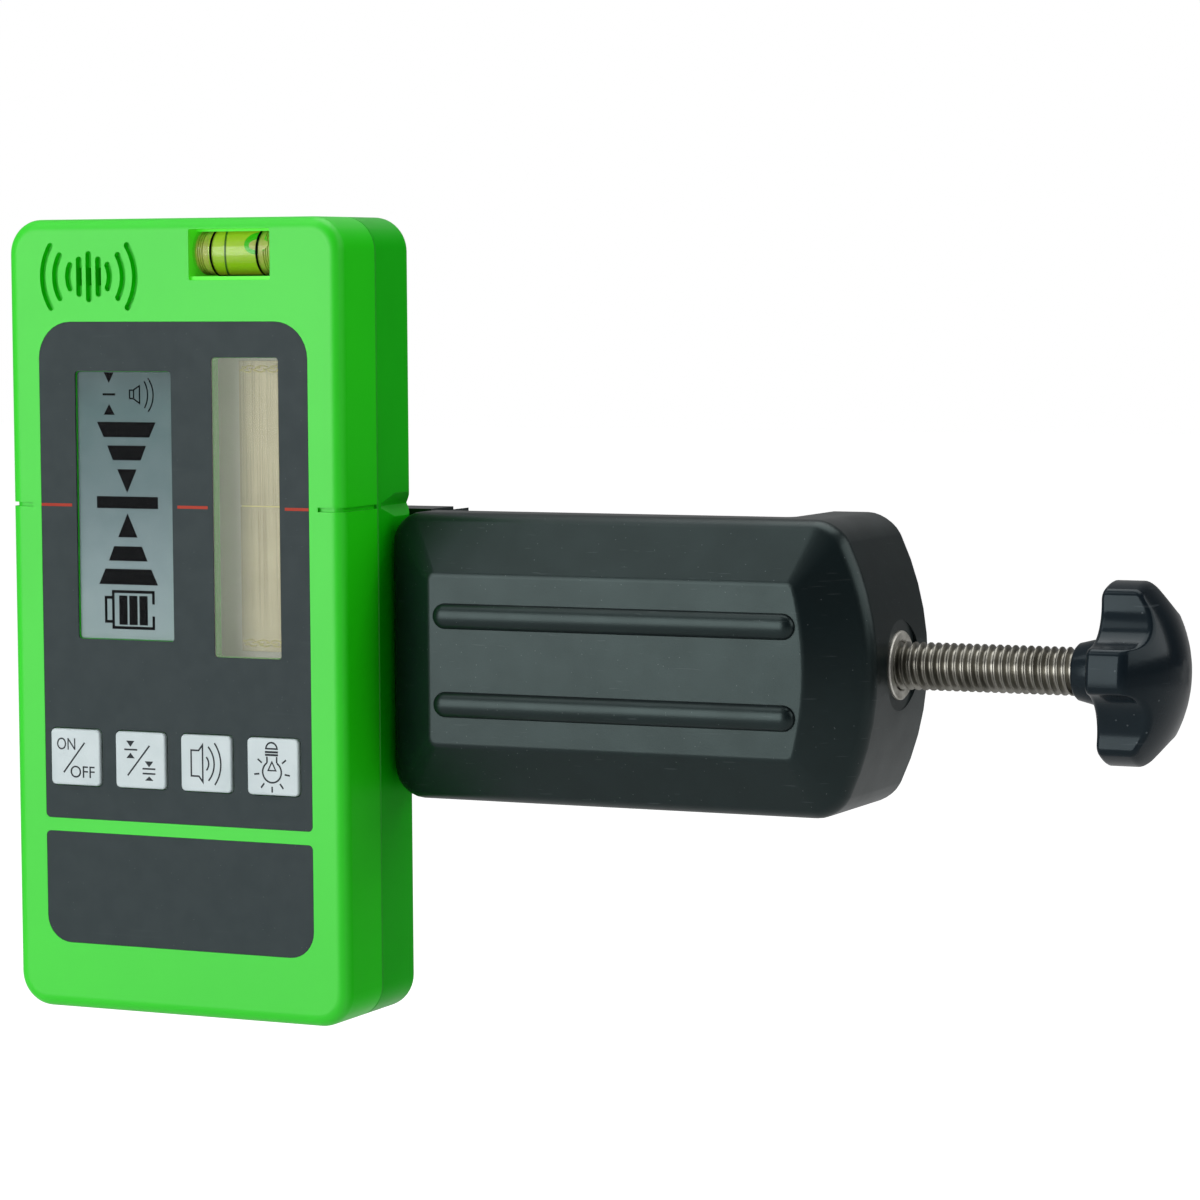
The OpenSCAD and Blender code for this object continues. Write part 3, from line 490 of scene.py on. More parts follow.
metalLooks = {
    "steel": {"light": (154, 152, 144), "dark": (116, 114, 106), "rough": (0.3, 0.42),
              "brush": (900.0, 160.0, 160.0), "bump": (0.06, 0.00005)},
    "facedSteel": {"light": (224, 222, 214), "dark": (176, 174, 166), "rough": (0.42, 0.58),
                   "brush": (120.0, 420.0, 420.0), "bump": (0.1, 0.00008)},
    "brass": {"light": (222, 184, 104), "dark": (196, 156, 82), "rough": (0.2, 0.34),
              "brush": (160.0, 900.0, 160.0), "bump": (0.06, 0.00005)},
    "tin": {"light": (214, 214, 214), "dark": (182, 182, 184), "rough": (0.24, 0.38),
            "brush": (300.0, 300.0, 300.0), "bump": (0.06, 0.00005)},
}
finishes.update({name: metal(name, look) for name, look in metalLooks.items()})


def clearFilm(name, colour, alpha, rough):
    finish, tree, shader = newFinish(name, {"Alpha": alpha, "IOR": 1.45})
    haze = noise(tree, objectPlace(tree), 90.0, 3.0)
    dim = [0.94 * c for c in colour]
    dress(tree, shader, mixColour(tree, haze, tint(*colour), tint(*dim)),
          mapRange(tree, haze, 0.3, 0.7, *rough))
    return finish


def rampFinish(name, axis, low, high, stops, rough, glow=0.0):
    # colour that changes along one axis of the piece
    finish, tree, shader = newFinish(name, {"Emission Strength": glow})
    where = objectPlace(tree)
    place = addNode(tree, "SeparateXYZ", {"Vector": where}).outputs[at(axis)]
    soft = noise(tree, where, 220.0, 3.0)
    share = mapRange(tree, place, low * toMetres, high * toMetres)
    share = compute(tree, "ADD", share, mapRange(tree, soft, 0.3, 0.7, -0.02, 0.02))
    ramp = addNode(tree, "ValToRGB", {"Fac": share})
    points = ramp.color_ramp.elements
    while len(points) < len(stops):
        points.new(0.5)
    for point, (position, colour) in zip(points, stops):
        point.position = position
        point.color = tint(*colour)
    dress(tree, shader, ramp.outputs["Color"], mapRange(tree, soft, 0.3, 0.7, *rough))
    # painted light: with glow the piece gives off its own colour, though it is no lamp
    if glow:
        feed(tree, shader.inputs["Emission Color"], ramp.outputs["Color"])
    return finish


def cellFinish(name):
    # thin upright contact lines on a pale gold cell
    look = {"light": (206, 196, 156), "dark": (192, 182, 142), "line": (146, 134, 92)}
    finish, tree, shader = newFinish(name, {"Metallic": 0.25})
    where = objectPlace(tree)
    drawn = addNode(tree, "Mapping", {"Vector": where, "Scale": (3200.0, 1.0, 26.0)}).outputs[0]
    threads = noise(tree, drawn, 1.0, 2.0)
    slow = noise(tree, where, 110.0, 2.0)
    base = mixColour(tree, mapRange(tree, slow, 0.35, 0.65), tint(*look["light"]), tint(*look["dark"]))
    lines = mapRange(tree, threads, 0.46, 0.68, 0.0, 0.55)
    dress(tree, shader, mixColour(tree, lines, base, tint(*look["line"])),
          mapRange(tree, threads, 0.3, 0.7, 0.32, 0.5))
    bumpFrom(tree, shader, threads, 0.1, 0.00005)
    return finish


finishes["displayFilm"] = clearFilm("displayFilm", (44, 48, 50), 0.03, (0.1, 0.18))
finishes["sensorFilm"] = clearFilm("sensorFilm", (182, 182, 166), 0.22, (0.12, 0.22))
finishes["vialGlass"] = clearFilm("vialGlass", (170, 190, 70), 0.07, (0.03, 0.08))
finishes["photocell"] = cellFinish("photocell")
print("finishes", len(finishes))


# Receiver case

shell = {"corner": 7.0, "frontEdge": 2.7, "backEdge": 3.0, "wall": 2.8, "seam": 0.3,
         "bossR": 3.9, "bossGap": 0.05, "postR": 2.8, "screwHead": 2.8, "boardHead": 2.0, "pilotR": 1.6,
         "pilotStart": 5.0, "boardPilotR": 1.1, "wellR": 2.9, "wellDrop": 2.4, "softEdge": 0.3}
caseLow, frontHigh = spanOf("front_case")
caseHigh = spanOf("rear_case")[1]
frontY, splitY, backY = caseLow.y, frontHigh.y, caseHigh.y
innerY, innerBackY = frontY + shell["wall"], backY - shell["wall"]
screwHigh = spanOf("case_screws")[1]
boardLow = spanOf("main_board")[0]
mainLow, mainHigh = spanOf("front_label")
lowerLow, lowerHigh = spanOf("lower_label")
labelT = mainHigh.y - mainLow.y
displayLow, displayHigh = spanOf("display_window")
sensorLow, sensorHigh = spanOf("sensor_window")
referenceZ = (sensorLow.z + sensorHigh.z) / 2
keyNames = ["power", "accuracy", "sound", "light"]
keyShape = {"flange": 0.8, "flangeT": 0.8, "gap": 0.2, "corner": 1.0, "edge": 0.4, "stemR": 2.7,
            "capBack": innerY + 0.1, "inkRoom": 0.04}


def slab(low, high, grow, y0, y1):
    return block((low.x - grow, y0, low.z - grow), (high.x + grow, y1, high.z + grow))


def wallBlock(inset, y0, y1):
    bm = slab(caseLow, caseHigh, -inset, y0, y1)
    roundCorners(bm, "y", shell["corner"] - inset, segments=12)
    return bm


def labelBlock(low, high, topR, bottomR, y0, y1, grow=0.0):
    middle = (low.z + high.z) / 2
    bm = slab(low, high, grow, y0, y1)
    roundCorners(bm, "y", topR + grow, lambda p: p.z > middle)
    roundCorners(bm, "y", bottomR + grow, lambda p: p.z < middle)
    return bm


def plate(low, high, grow, y0, y1, corner):
    bm = slab(low, high, grow, y0, y1)
    roundCorners(bm, "y", corner, segments=5)
    return bm


def keyPlate(name, grow, y0, y1):
    low, high = spanOf("key_" + name)
    return plate(low, high, grow - keyShape["flange"], y0, y1, keyShape["corner"] + grow)


def cornerSpots(node, head):
    low, high = spanOf(node)
    return [(x, z) for x in (low.x + head, high.x - head) for z in (low.z + head, high.z - head)]


def rods(spots, radius, start, end, steps=48):
    return [rod((x, 0, z), "y", radius, start, end, steps) for x, z in spots]


screwSpots = cornerSpots("case_screws", shell["screwHead"])
boardSpots = cornerSpots("board_screws", shell["boardHead"])
labelShape = {"topR": 7.5, "bottomR": 5.5, "innerR": 1.0, "windowR": 0.7, "ledge": 0.02, "room": 0.03,
              "filmEdge": 0.08}


def mainLabelBlock(y0, y1, grow=0.0):
    return labelBlock(mainLow, mainHigh, labelShape["topR"], labelShape["innerR"], y0, y1, grow)


def lowerLabelBlock(y0, y1, grow=0.0):
    return labelBlock(lowerLow, lowerHigh, labelShape["innerR"], labelShape["bottomR"], y0, y1, grow)


def faceOpenings(grow, y0, y1):
    windows = [plate(low, high, grow, y0, y1, labelShape["windowR"])
               for low, high in ((displayLow, displayHigh), (sensorLow, sensorHigh))]
    return windows + [keyPlate(name, keyShape["gap"], y0, y1) for name in keyNames]


grille = {"x": -19.2, "drop": 11.7, "width": 1.35, "depth": 1.4, "hollow": 0.6, "round": 0.98,
          "slots": ((-2.3, 4.1), (0, 5.2), (2.3, 4.1)), "holeHalf": 1.8,
          "arcCentre": 0.5, "arcStep": 1.4, "arcs": ((5.5, 25), (8.6, 30), (11.5, 33))}
grilleZ = caseHigh.z - grille["drop"]


def grooveBar(x, half, y1):
    middle, wide = grille["x"] + x, grille["width"] / 2
    return block((middle - wide, frontY - past, grilleZ - half), (middle + wide, y1, grilleZ + half))


def arcGroove(radius, reach, side):
    wide, floorY = grille["width"] / 2, frontY + grille["depth"]
    half = math.radians(reach) + wide / radius
    centre = Vector((grille["x"] - side * grille["arcCentre"], 0, grilleZ))
    bm = bmesh.new()
    corners = [(radius - wide, frontY - past), (radius + wide, frontY - past), (radius + wide, floorY),
               (radius - wide, floorY)]
    face = bm.faces.new([bm.verts.new((centre.x + side * r, y, grilleZ)) for r, y in corners])
    bmesh.ops.rotate(bm, cent=centre, matrix=Matrix.Rotation(half, 3, "Y"), verts=bm.verts)
    bmesh.ops.spin(bm, geom=[face, *face.edges, *face.verts], cent=centre, axis=(0, -1, 0),
                   angle=2 * half, steps=round(2 * half * radius / grille["arcStep"]))
    bmesh.ops.recalc_face_normals(bm, faces=bm.faces)
    capArea = 1.2 * grille["width"] * (past + grille["depth"])
    tips = [e for e in sharpEdges(bm, 57) if abs(e.verts[0].co.y - e.verts[1].co.y) > past
            and any(len(f.edges) == 4 and f.calc_area() < capArea for f in e.link_faces)]
    bevelEdges(bm, tips, grille["round"] * wide, 6)
    return bm


def grilleGrooves():
    floorY = frontY + grille["depth"]
    cuts = []
    for x, half in grille["slots"]:
        bar = grooveBar(x, half, floorY)
        roundCorners(bar, "y", grille["round"] * grille["width"] / 2, segments=6)
        cuts.append(bar)
    cuts += [arcGroove(*arc, side) for arc in grille["arcs"] for side in (-1, 1)]
    for cut in cuts:
        bevelEdges(cut, rimEdges(cut, "y", floorY), grille["hollow"], 5)
    return cuts


mark = {"height": 0.9, "depth": 0.8, "start": 33.4}


def referenceGroove():
    # a band round each side of the front shell, following its rounded edge
    deep, half, start = mark["depth"], mark["height"] / 2, mark["start"]
    core = wallBlock(deep, frontY + deep, splitY + 5)
    bevelEdges(core, rimEdges(core, "y", frontY + deep), shell["frontEdge"] - deep, 6)
    bands = [block((x0, frontY - past, referenceZ - half), (x1, splitY + past, referenceZ + half))
             for x0, x1 in ((caseLow.x - past, -start), (start, caseHigh.x + past))]
    return combine(joined(bands), [core])


vialLow, vialHigh = spanOf("vial_tube")
vialMid = (vialLow + vialHigh) / 2
viewMid = vialMid.copy()
vialWindow = {"width": 18.7, "height": 10.3, "corner": 0.35, "stopT": 2.0, "sillY": 0.8, "sillGap": 0.05,
              "glowStart": 0.25, "glowReach": (0.4, 0.1)}
vial = {"radius": 4.79, "forward": 1.2, "rise": 0.45, "half": 9.25, "endRoom": 0.05, "seat": 0.1,
        "glassT": 0.15, "edge": 0.05, "liquidGap": 0.1}
# the tube sits further forward and higher than the frame's, its window doesn't
vialMid += Vector((0, -vial["forward"], vial["rise"]))


def lightenJamb(shellPiece):
    # painted light: the jamb faces round the vial get a lighter green that glows, standing for light coming
    # through the wall
    beside, above = vialWindow["glowReach"]
    reachX, reachZ = vialWindow["width"] / 2 + beside, vialWindow["height"] / 2 + above
    startY = frontY + vialWindow["glowStart"]
    shellPiece.data.materials.append(finishes["jambPaintedGlow"])
    for face in shellPiece.data.polygons:
        place = face.center / toMetres
        away = place - viewMid
        if abs(away.x) < reachX and abs(away.z) < reachZ and startY < place.y < vialHigh.y:
            face.material_index = 1


sealGroove = {"gap": 0.06, "width": 0.94}


def frontHollow():
    # the inside, and a ring for the seal at the parting line
    sealLow = spanOf("case_seal")[0]
    inset = sealLow.x - caseLow.x
    sealRing = combine(wallBlock(inset - sealGroove["gap"], sealLow.y, splitY + past),
                       [wallBlock(inset + sealGroove["width"], sealLow.y - past, splitY + 2 * past)])
    return [wallBlock(shell["wall"], innerY, splitY + past), sealRing]


def frontPosts():
    # bosses for the case screws, posts for the board, stops beside the vial
    posts = rods(screwSpots, shell["bossR"], innerY - overlap, splitY - shell["bossGap"])
    posts += rods(boardSpots, shell["postR"], innerY - overlap, boardLow.y)
    stop = vialWindow["stopT"] / 2
    for side in (-1, 1):
        x = vialMid.x + side * (vialWindow["width"] / 2 + stop)
        posts.append(block((x - stop, innerY - overlap, vialLow.z),
                           (x + stop, vialHigh.y, caseHigh.z - shell["wall"] + overlap)))
    return posts


def vialOpening(y0, y1):
    # a window that leaves a sill under the tube
    half = Vector((vialWindow["width"] / 2, 0, vialWindow["height"] / 2))
    low, high = viewMid - half, viewMid + half
    view = slab(low, high, 0, y0, y1)
    roundCorners(view, "y", vialWindow["corner"], segments=4)
    sill = block((low.x - past, frontY + vialWindow["sillY"], low.z - past),
                 (high.x + past, innerY + past, vialMid.z - vial["radius"] - vialWindow["sillGap"]))
    return combine(view, [sill])


def makeFrontShell():
    body = wallBlock(0, frontY, splitY)
    bevelEdges(body, rimEdges(body, "y", frontY), shell["frontEdge"], 8)
    bevelEdges(body, rimEdges(body, "y", splitY), shell["seam"], 1)
    body = combine(body, frontHollow())
    body = combine(body, frontPosts(), "UNION")
    reach, seatR = vial["half"] + vial["endRoom"], vial["radius"] + vial["seat"]
    body = combine(body, [rod(vialMid, "x", seatR, vialMid.x - reach, vialMid.x + reach, 64)])
    recess = (frontY - past, frontY + labelT, labelShape["room"])
    body = combine(body, [mainLabelBlock(*recess), lowerLabelBlock(*recess)])
    body = combine(body, [referenceGroove()])
    hole = (frontY - 2 * past, innerY + past / 2)
    body = combine(body, faceOpenings(-labelShape["ledge"], *hole) + [vialOpening(*hole)] + grilleGrooves())
    body = combine(body, [grooveBar(x, grille["holeHalf"], innerY + past) for x, half in grille["slots"]])
    pilots = rods(screwSpots, shell["pilotR"], innerY + shell["pilotStart"], splitY + past, 24)
    pilots += rods(boardSpots, shell["boardPilotR"], innerY + past, boardLow.y + past, 24)
    body = combine(body, pilots)
    softened = sharpEdges(body, 60, lambda p: abs(p.y - frontY) < 0.01)
    bevelEdges(body, softened, shell["softEdge"], 2)
    piece = finishPiece("frontShell", body, "frontGreen", "root", ["front_case"])
    lightenJamb(piece)
    return piece


notch = {"half": 2.4, "depth": 1.6, "start": 1.5, "taper": 0.3, "tipOut": 0.2, "run": 6.0, "edge": 0.35,
         "reach": 3.0}
doorLow, doorHigh = spanOf("battery_door")
door = {"tongue": 1.5, "tongueT": 0.8, "gap": 0.1, "railRise": 0.6, "grips": 5, "gripPitch": 3.0,
        "gripDrop": 7.8, "gripHalf": 9.0, "gripT": 1.2, "gripProud": doorHigh.y - backY, "gripCorner": 0.55,
        "gripEdge": 0.3, "sideEdge": 0.3, "batteryRoom": 0.4, "batteryShift": 2.0}
batteryLow, batteryHigh = spanOf("battery")
mountLow, mountHigh = spanOf("mount_insert")
mountSpot = (mountLow + mountHigh) / 2
mountSeat = {"bossR": 7.5, "pinSpread": 20.0, "holeR": 2.1, "holeDepth": 2.1, "bossOver": 1.0, "room": 0.05}


def rearBlock(y0):
    body = wallBlock(0, y0, backY)
    bevelEdges(body, rimEdges(body, "y", backY), shell["backEdge"], 8)
    return body


def sideNotch(x, side):
    # a V along the side that starts small near the parting line
    reach = notch["half"] * (1 + 1 / notch["depth"])
    start = splitY + notch["start"]
    corners = [(x - side * notch["depth"], referenceZ), (x + side, referenceZ - reach),
               (x + side, referenceZ + reach)]
    cut = prism(corners, "y", start, backY + past)
    sliceAt(cut, (0, start + notch["run"], 0), (0, 1, 0))
    tip = [v for v in cut.verts if abs(v.co.y - start) < merge]
    bmesh.ops.scale(cut, vec=(notch["taper"], 1, notch["taper"]),
                    space=Matrix.Translation((-x - side * notch["tipOut"], 0, -referenceZ)), verts=tip)
    return cut


def cutDoorOpening(body):
    # the opening itself, the battery's well and the grooves for the door's tongues
    gap, tongue, shift = door["gap"], door["tongue"], door["batteryShift"]
    wideX, top = doorHigh.x - tongue + gap, doorHigh.z + gap
    opening = block((-wideX, doorLow.y - gap, -past), (wideX, backY + past, top))
    well = slab(batteryLow, batteryHigh, door["batteryRoom"], batteryLow.y + shift, batteryHigh.y + shift)
    grooves = block((-wideX - tongue, doorLow.y - gap, -past),
                    (wideX + tongue, doorLow.y + door["tongueT"] + gap, top))
    for cut in (opening, well, grooves):
        body = combine(body, [cut])
    return body


def rearHoles():
    # places for the mount's insert and pins, the side notches and the case screws
    seatR = (mountHigh.x - mountLow.x) / 2 + mountSeat["room"]
    cuts = [rod(mountSpot, "y", seatR, mountLow.y - mountSeat["bossOver"] - past, backY + past)]
    for side in (-1, 1):
        cuts.append(sideNotch(side * caseHigh.x, side))
        pinZ = mountSpot.z + side * mountSeat["pinSpread"]
        cuts.append(rod((mountSpot.x, 0, pinZ), "y", mountSeat["holeR"], backY - mountSeat["holeDepth"],
                        backY + past))
    pilotR, wellR, wellY = shell["pilotR"], shell["wellR"], screwHigh.y - shell["wellDrop"]
    start, end = splitY - past, backY + past
    profile = [(start, 0), (start, pilotR), (wellY, pilotR), (wellY, wellR), (end, wellR), (end, 0)]
    return cuts + [lathe(profile, (x, 0, z), "y", 40) for x, z in screwSpots]


def makeRearShell():
    body = rearBlock(splitY)
    bevelEdges(body, rimEdges(body, "y", splitY), shell["seam"], 1)
    body = combine(body, [wallBlock(shell["wall"], splitY - past, innerBackY)])
    inner = rods(screwSpots, shell["bossR"], splitY + shell["bossGap"], innerBackY + overlap)
    bossY = mountLow.y - mountSeat["bossOver"]
    inner.append(rod(mountSpot, "y", mountSeat["bossR"], bossY, innerBackY + overlap))
    body = combine(body, inner, "UNION")
    body = cutDoorOpening(body)
    body = combine(body, rearHoles())
    softened = sharpEdges(body, 50, lambda p: abs(p.y - backY) < 0.01)
    bevelEdges(body, softened, shell["softEdge"], 2)
    reach = notch["reach"]
    lips = sharpEdges(body, 30, lambda p: abs(p.z - referenceZ) < reach and p.y > splitY + 1
                      and abs(p.x) > caseHigh.x - reach)
    bevelEdges(body, lips, notch["edge"], 3)
    return finishPiece("rearShell", body, "rearGreenShaded", "root", ["rear_case"])


def makeBatteryDoor():
    outer = doorHigh.x - door["tongue"]
    opening = block((-outer, doorLow.y, -past), (outer, backY + past, doorHigh.z))
    leaf = combine(rearBlock(splitY), [opening], "INTERSECT")
    bevelEdges(leaf, sharpEdges(leaf, 60, lambda p: p.y > backY - 0.01), door["sideEdge"], 2)
    rails = block((-doorHigh.x, doorLow.y, door["railRise"]),
                  (doorHigh.x, doorLow.y + door["tongueT"], doorHigh.z))
    leaf = combine(leaf, [rails], "UNION")
    bars = []
    for i in range(door["grips"]):
        top = doorHigh.z - door["gripDrop"] - i * door["gripPitch"]
        bar = block((-door["gripHalf"], backY - overlap, top - door["gripT"]),
                    (door["gripHalf"], backY + door["gripProud"], top))
        roundCorners(bar, "y", door["gripCorner"], segments=4)
        bevelEdges(bar, rimEdges(bar, "y", backY + door["gripProud"]), door["gripEdge"], 3)
        bars.append(bar)
    leaf = combine(leaf, bars, "UNION")
    finishPiece("batteryDoorLeaf", leaf, "rearGreenShaded", "battery_door", ["battery_door"])


frontShell = makeFrontShell()
rearShell = makeRearShell()
makeBatteryDoor()
print("case shells", len(frontShell.data.polygons), len(rearShell.data.polygons))


# Labels, windows and the printed reference line

def makeLabels():
    y0, y1 = mainLow.y, mainHigh.y
    film = mainLabelBlock(y0, y1)
    edge = labelShape["filmEdge"]
    film = combine(film, faceOpenings(labelShape["room"], y0 - past, y1 + past))
    bevelEdges(film, sharpEdges(film, 60, lambda p: abs(p.y - y0) < 0.01), edge, 2)
    finishPiece("mainLabelFilm", film, "labelFilm", "root", ["front_label"])
    film = lowerLabelBlock(y0, y1)
    bevelEdges(film, rimEdges(film, "y", y0), edge, 2)
    finishPiece("lowerLabelFilm", film, "labelFilm", "root", ["lower_label"])
    for name, node, finish in (("displayCover", "display_window", "displayFilm"),
                               ("sensorCover", "sensor_window", "sensorFilm")):
        low, high = spanOf(node)
        pane = plate(low, high, 0, low.y, high.y, labelShape["windowR"])
        bevelEdges(pane, rimEdges(pane, "y", low.y), edge, 2)
        finishPiece(name, pane, finish, "root", [node])


ink = {"proud": 0.03, "sunk": 0.01}


def raiseInk(name, bm, y, finish, body):
    # flat shapes drawn at y = 0 become thin slabs on a surface at y
    bm.normal_update()
    bmesh.ops.reverse_faces(bm, faces=[f for f in bm.faces if f.normal.y > 0])
    bmesh.ops.solidify(bm, geom=bm.faces[:], thickness=ink["proud"] + ink["sunk"])
    low = min(v.co.y for v in bm.verts)
    bmesh.ops.translate(bm, vec=(0, y - ink["proud"] - low, 0), verts=bm.verts)
    return finishPiece(name, bm, finish, body)


def fillShape(bm, points):
    face = bm.faces.new([bm.verts.new((x, 0, z)) for x, z in points])
    face.normal_update()
    return face


def fillBar(bm, x0, x1, z0, z1):
    return fillShape(bm, [(x0, z0), (x1, z0), (x1, z1), (x0, z1)])


def ringShape(bm, points, width):
    # an outline of even width, drawn inside its points
    face = fillShape(bm, points)
    bmesh.ops.inset_region(bm, faces=[face], thickness=width, use_even_offset=True, use_boundary=True)
    bmesh.ops.delete(bm, geom=[face], context="FACES_ONLY")


def strokeLine(bm, start, end, width):
    start, end = Vector(start), Vector(end)
    side = (end - start).orthogonal().normalized() * width / 2
    return fillShape(bm, [start + side, end + side, end - side, start - side])


def strokeArc(bm, centre, radius, start, end, width, steps=14):
    # angles run from +X towards +Z, in degrees
    turn = math.radians(start)
    ray = Vector((math.cos(turn), 0, math.sin(turn)))
    middle = Vector((centre[0], 0, centre[1]))
    pair = [bm.verts.new(middle + ray * (radius + side * width / 2)) for side in (-1, 1)]
    edge = bm.edges.new(pair)
    full = abs(end - start) >= 360
    bmesh.ops.spin(bm, geom=[*pair, edge], cent=middle, axis=(0, -1, 0), angle=math.radians(end - start),
                   steps=steps, use_merge=full)


redMarks = {"half": 0.3, "runs": ((-31.35, -24.0), (1.05, 8.1), (25.95, 31.35))}


def makeReferenceMarks():
    bm = bmesh.new()
    for x0, x1 in redMarks["runs"]:
        fillBar(bm, x0, x1, referenceZ - redMarks["half"], referenceZ + redMarks["half"])
    raiseInk("referenceMarks", bm, mainLow.y, "markRed", "root")


makeLabels()
makeReferenceMarks()
print("labels and windows")


# Display

glassLow, glassHigh = spanOf("lcd_glass")
glyphs = {
    "x": -11.26,
    "bars": ((6.95, 5.4, 121.7, 118.6), (4.6, 3.3, 116.9, 113.9), (7.25, 7.25, 106.5, 104.05),
             (3.3, 4.6, 96.3, 93.3), (5.45, 7.0, 91.65, 88.45)),  # half width at top and bottom, top, bottom
    "arrows": ((2.3, 112.07, 107.27), (2.3, 98.15, 103.05)),  # half width, base, tip
    "smallX": -15.26, "smallArrows": ((1.15, 131.8, 129.65), (1.3, 123.15, 125.35)),
    "smallBar": (1.5, 127.1, 127.55), "stroke": 0.3,
}
speakerGlyph = {"box": (-10.51, -9.56, 126.35, 128.35), "horn": (-7.86, 125.25, 129.35),
                # centre, radius and half angle of each wave
                "waves": ((-11.29, 127.3, 5.19, 31.6), (-10.14, 127.25, 5.35, 39.5))}
batteryGlyph = {"body": (-15.26, -5.11, 79.3, 87.3), "gap": (82.1, 84.55), "cap": (-17.01, 80.5, 86.05),
                "stroke": 0.6, "bars": (-13.56, -11.16, -8.76), "barW": 1.95, "barZ": (80.2, 86.2)}
displayGlass = {"room": 0.1, "corner": 0.6, "stepY": glassLow.y + 2.0}


def drawMeterColumn(bm):
    x = glyphs["x"]
    for upper, lower, top, bottom in glyphs["bars"]:
        fillShape(bm, [(x - lower, bottom), (x + lower, bottom), (x + upper, top), (x - upper, top)])
    for half, base, tip in glyphs["arrows"]:
        fillShape(bm, [(x - half, base), (x + half, base), (x, tip)])
    x = glyphs["smallX"]
    for half, base, tip in glyphs["smallArrows"]:
        fillShape(bm, [(x - half, base), (x + half, base), (x, tip)])
    half, low, high = glyphs["smallBar"]
    fillBar(bm, x - half, x + half, low, high)


def drawSpeaker(bm):
    x0, x1, z0, z1 = speakerGlyph["box"]
    x2, z2, z3 = speakerGlyph["horn"]
    width = glyphs["stroke"]
    ringShape(bm, [(x0, z0), (x1 + width, z0), (x1 + width, z1), (x0, z1)], width)
    ringShape(bm, [(x1, z0), (x2, z2), (x2, z3), (x1, z1)], width)
    for cx, cz, radius, half in speakerGlyph["waves"]:
        strokeArc(bm, (cx, cz), radius, -half, half, width)


def drawBattery(bm):
    x0, x1, z0, z1 = batteryGlyph["body"]
    width = batteryGlyph["stroke"]
    fillBar(bm, x0, x1, z0, z0 + width)
    fillBar(bm, x0, x1, z1 - width, z1)
    fillBar(bm, x0, x0 + width, z0 + width, z1 - width)
    fillBar(bm, x1 - width, x1, z0 + width, batteryGlyph["gap"][0])
    fillBar(bm, x1 - width, x1, batteryGlyph["gap"][1], z1 - width)
    cap, capLow, capHigh = batteryGlyph["cap"]
    fillBar(bm, cap, x0, capLow, capLow + width)
    fillBar(bm, cap, x0, capHigh - width, capHigh)
    fillBar(bm, cap, cap + width, capLow + width, capHigh - width)
    for x in batteryGlyph["bars"]:
        fillBar(bm, x, x + batteryGlyph["barW"], *batteryGlyph["barZ"])


def makeDisplay():
    # the pane's pale blue-grey darkens towards the top: painted shade under the window's top edge
    finishes["displayGlass"] = rampFinish(
        "displayGlass", "z", displayLow.z, displayHigh.z,
        ((0.0, (146, 168, 169)), (0.28, (128, 151, 154)), (0.51, (101, 126, 129)), (0.86, (76, 106, 107)),
         (0.99, (68, 92, 94))), (0.5, 0.6))
    base = block((glassLow.x, displayGlass["stepY"], glassLow.z), glassHigh)
    pane = plate(displayLow, displayHigh, -displayGlass["room"], glassLow.y, displayGlass["stepY"] + overlap,
                 displayGlass["corner"])
    pane = combine(pane, [base], "UNION")
    finishPiece("displayPane", pane, "displayGlass", "root", ["lcd_glass"])
    bm = bmesh.new()
    drawMeterColumn(bm)
    drawSpeaker(bm)
    drawBattery(bm)
    raiseInk("displaySegments", bm, glassLow.y, "segmentInk", "root")


makeDisplay()
print("display")


# Sensor: carrier up to the display frame, solder dots along both ends of the cell

cellLow, cellHigh = spanOf("photocell_lower")
carrierLow, carrierHigh = spanOf("sensor_board")
solder = {"rows": 3, "count": 26, "pitchZ": 0.5, "radius": 0.22, "inset": 1.9, "margin": 0.4}
carrier = {"corner": 0.7, "gap": 0.05, "splitHalf": 0.14, "splitMargin": 0.3}


def makeCarrier():
    left = spanOf("lcd_frame")[1].x + carrier["gap"]
    bm = block((left, carrierLow.y, carrierLow.z), carrierHigh.to_tuple())
    roundCorners(bm, "y", carrier["corner"], segments=4)
    finishPiece("sensorCarrier", bm, "carrierGrey", "root", ["sensor_board"])


def makeSolderDots():
    bm = bmesh.new()
    start = cellLow.x + solder["margin"]
    step = (cellHigh.x - solder["margin"] - start) / solder["count"]
    for zEdge, side in ((sensorLow.z, 1), (sensorHigh.z, -1)):
        for row in range(solder["rows"]):
            for i in range(solder["count"]):
                wobble = 0.16 * math.sin(7.3 * i + 2.1 * row)  # uneven hand-laid row
                place = Vector((start + (i + 0.5 * (row % 2)) * step, cellLow.y,
                                zEdge + side * (solder["inset"] + row * solder["pitchZ"] + wobble)))
                if (3 * i + 5 * row) % 7:
                    bmesh.ops.create_icosphere(bm, subdivisions=1, radius=solder["radius"],
                                               matrix=Matrix.Translation(place))
    finishPiece("solderDots", bm, "goldDots", "root")
    bm = bmesh.new()
    margin, half = carrier["splitMargin"], carrier["splitHalf"]
    fillBar(bm, cellLow.x + margin, cellHigh.x - margin, referenceZ - half, referenceZ + half)
    raiseInk("splitLine", bm, cellLow.y, "goldDots", "root")


makeCarrier()
makeSolderDots()
print("sensor")


# Level vial

vialR = vial["radius"]
glassR = vialR - vial["glassT"]
plug = {"length": 3.4, "gap": 0.05, "nose": ((0.0, 0.9), (0.25, 0.35)), "noseEnd": 0.8,
        "ridges": 3, "start": 0.95, "pitch": 0.5, "depth": 0.25, "slope": 0.1, "floor": 0.15}
bubble = {"rim": (18.85, 2.9, 2.4), "rimRise": 1.6, "rimGap": 0.06,
          "core": (19.6, 2.5, 1.25), "coreRise": 1.4, "coreGap": 0.03, "depth": 0.2, "endGap": 0.2}
vialLines = {"places": (8.65, 19.3), "width": 0.5, "sunk": 0.02, "proud": 0.03}
farLine = {"x": 12.05, "lean": -0.346, "width": 0.42, "gap": 0.02, "depth": 0.3}


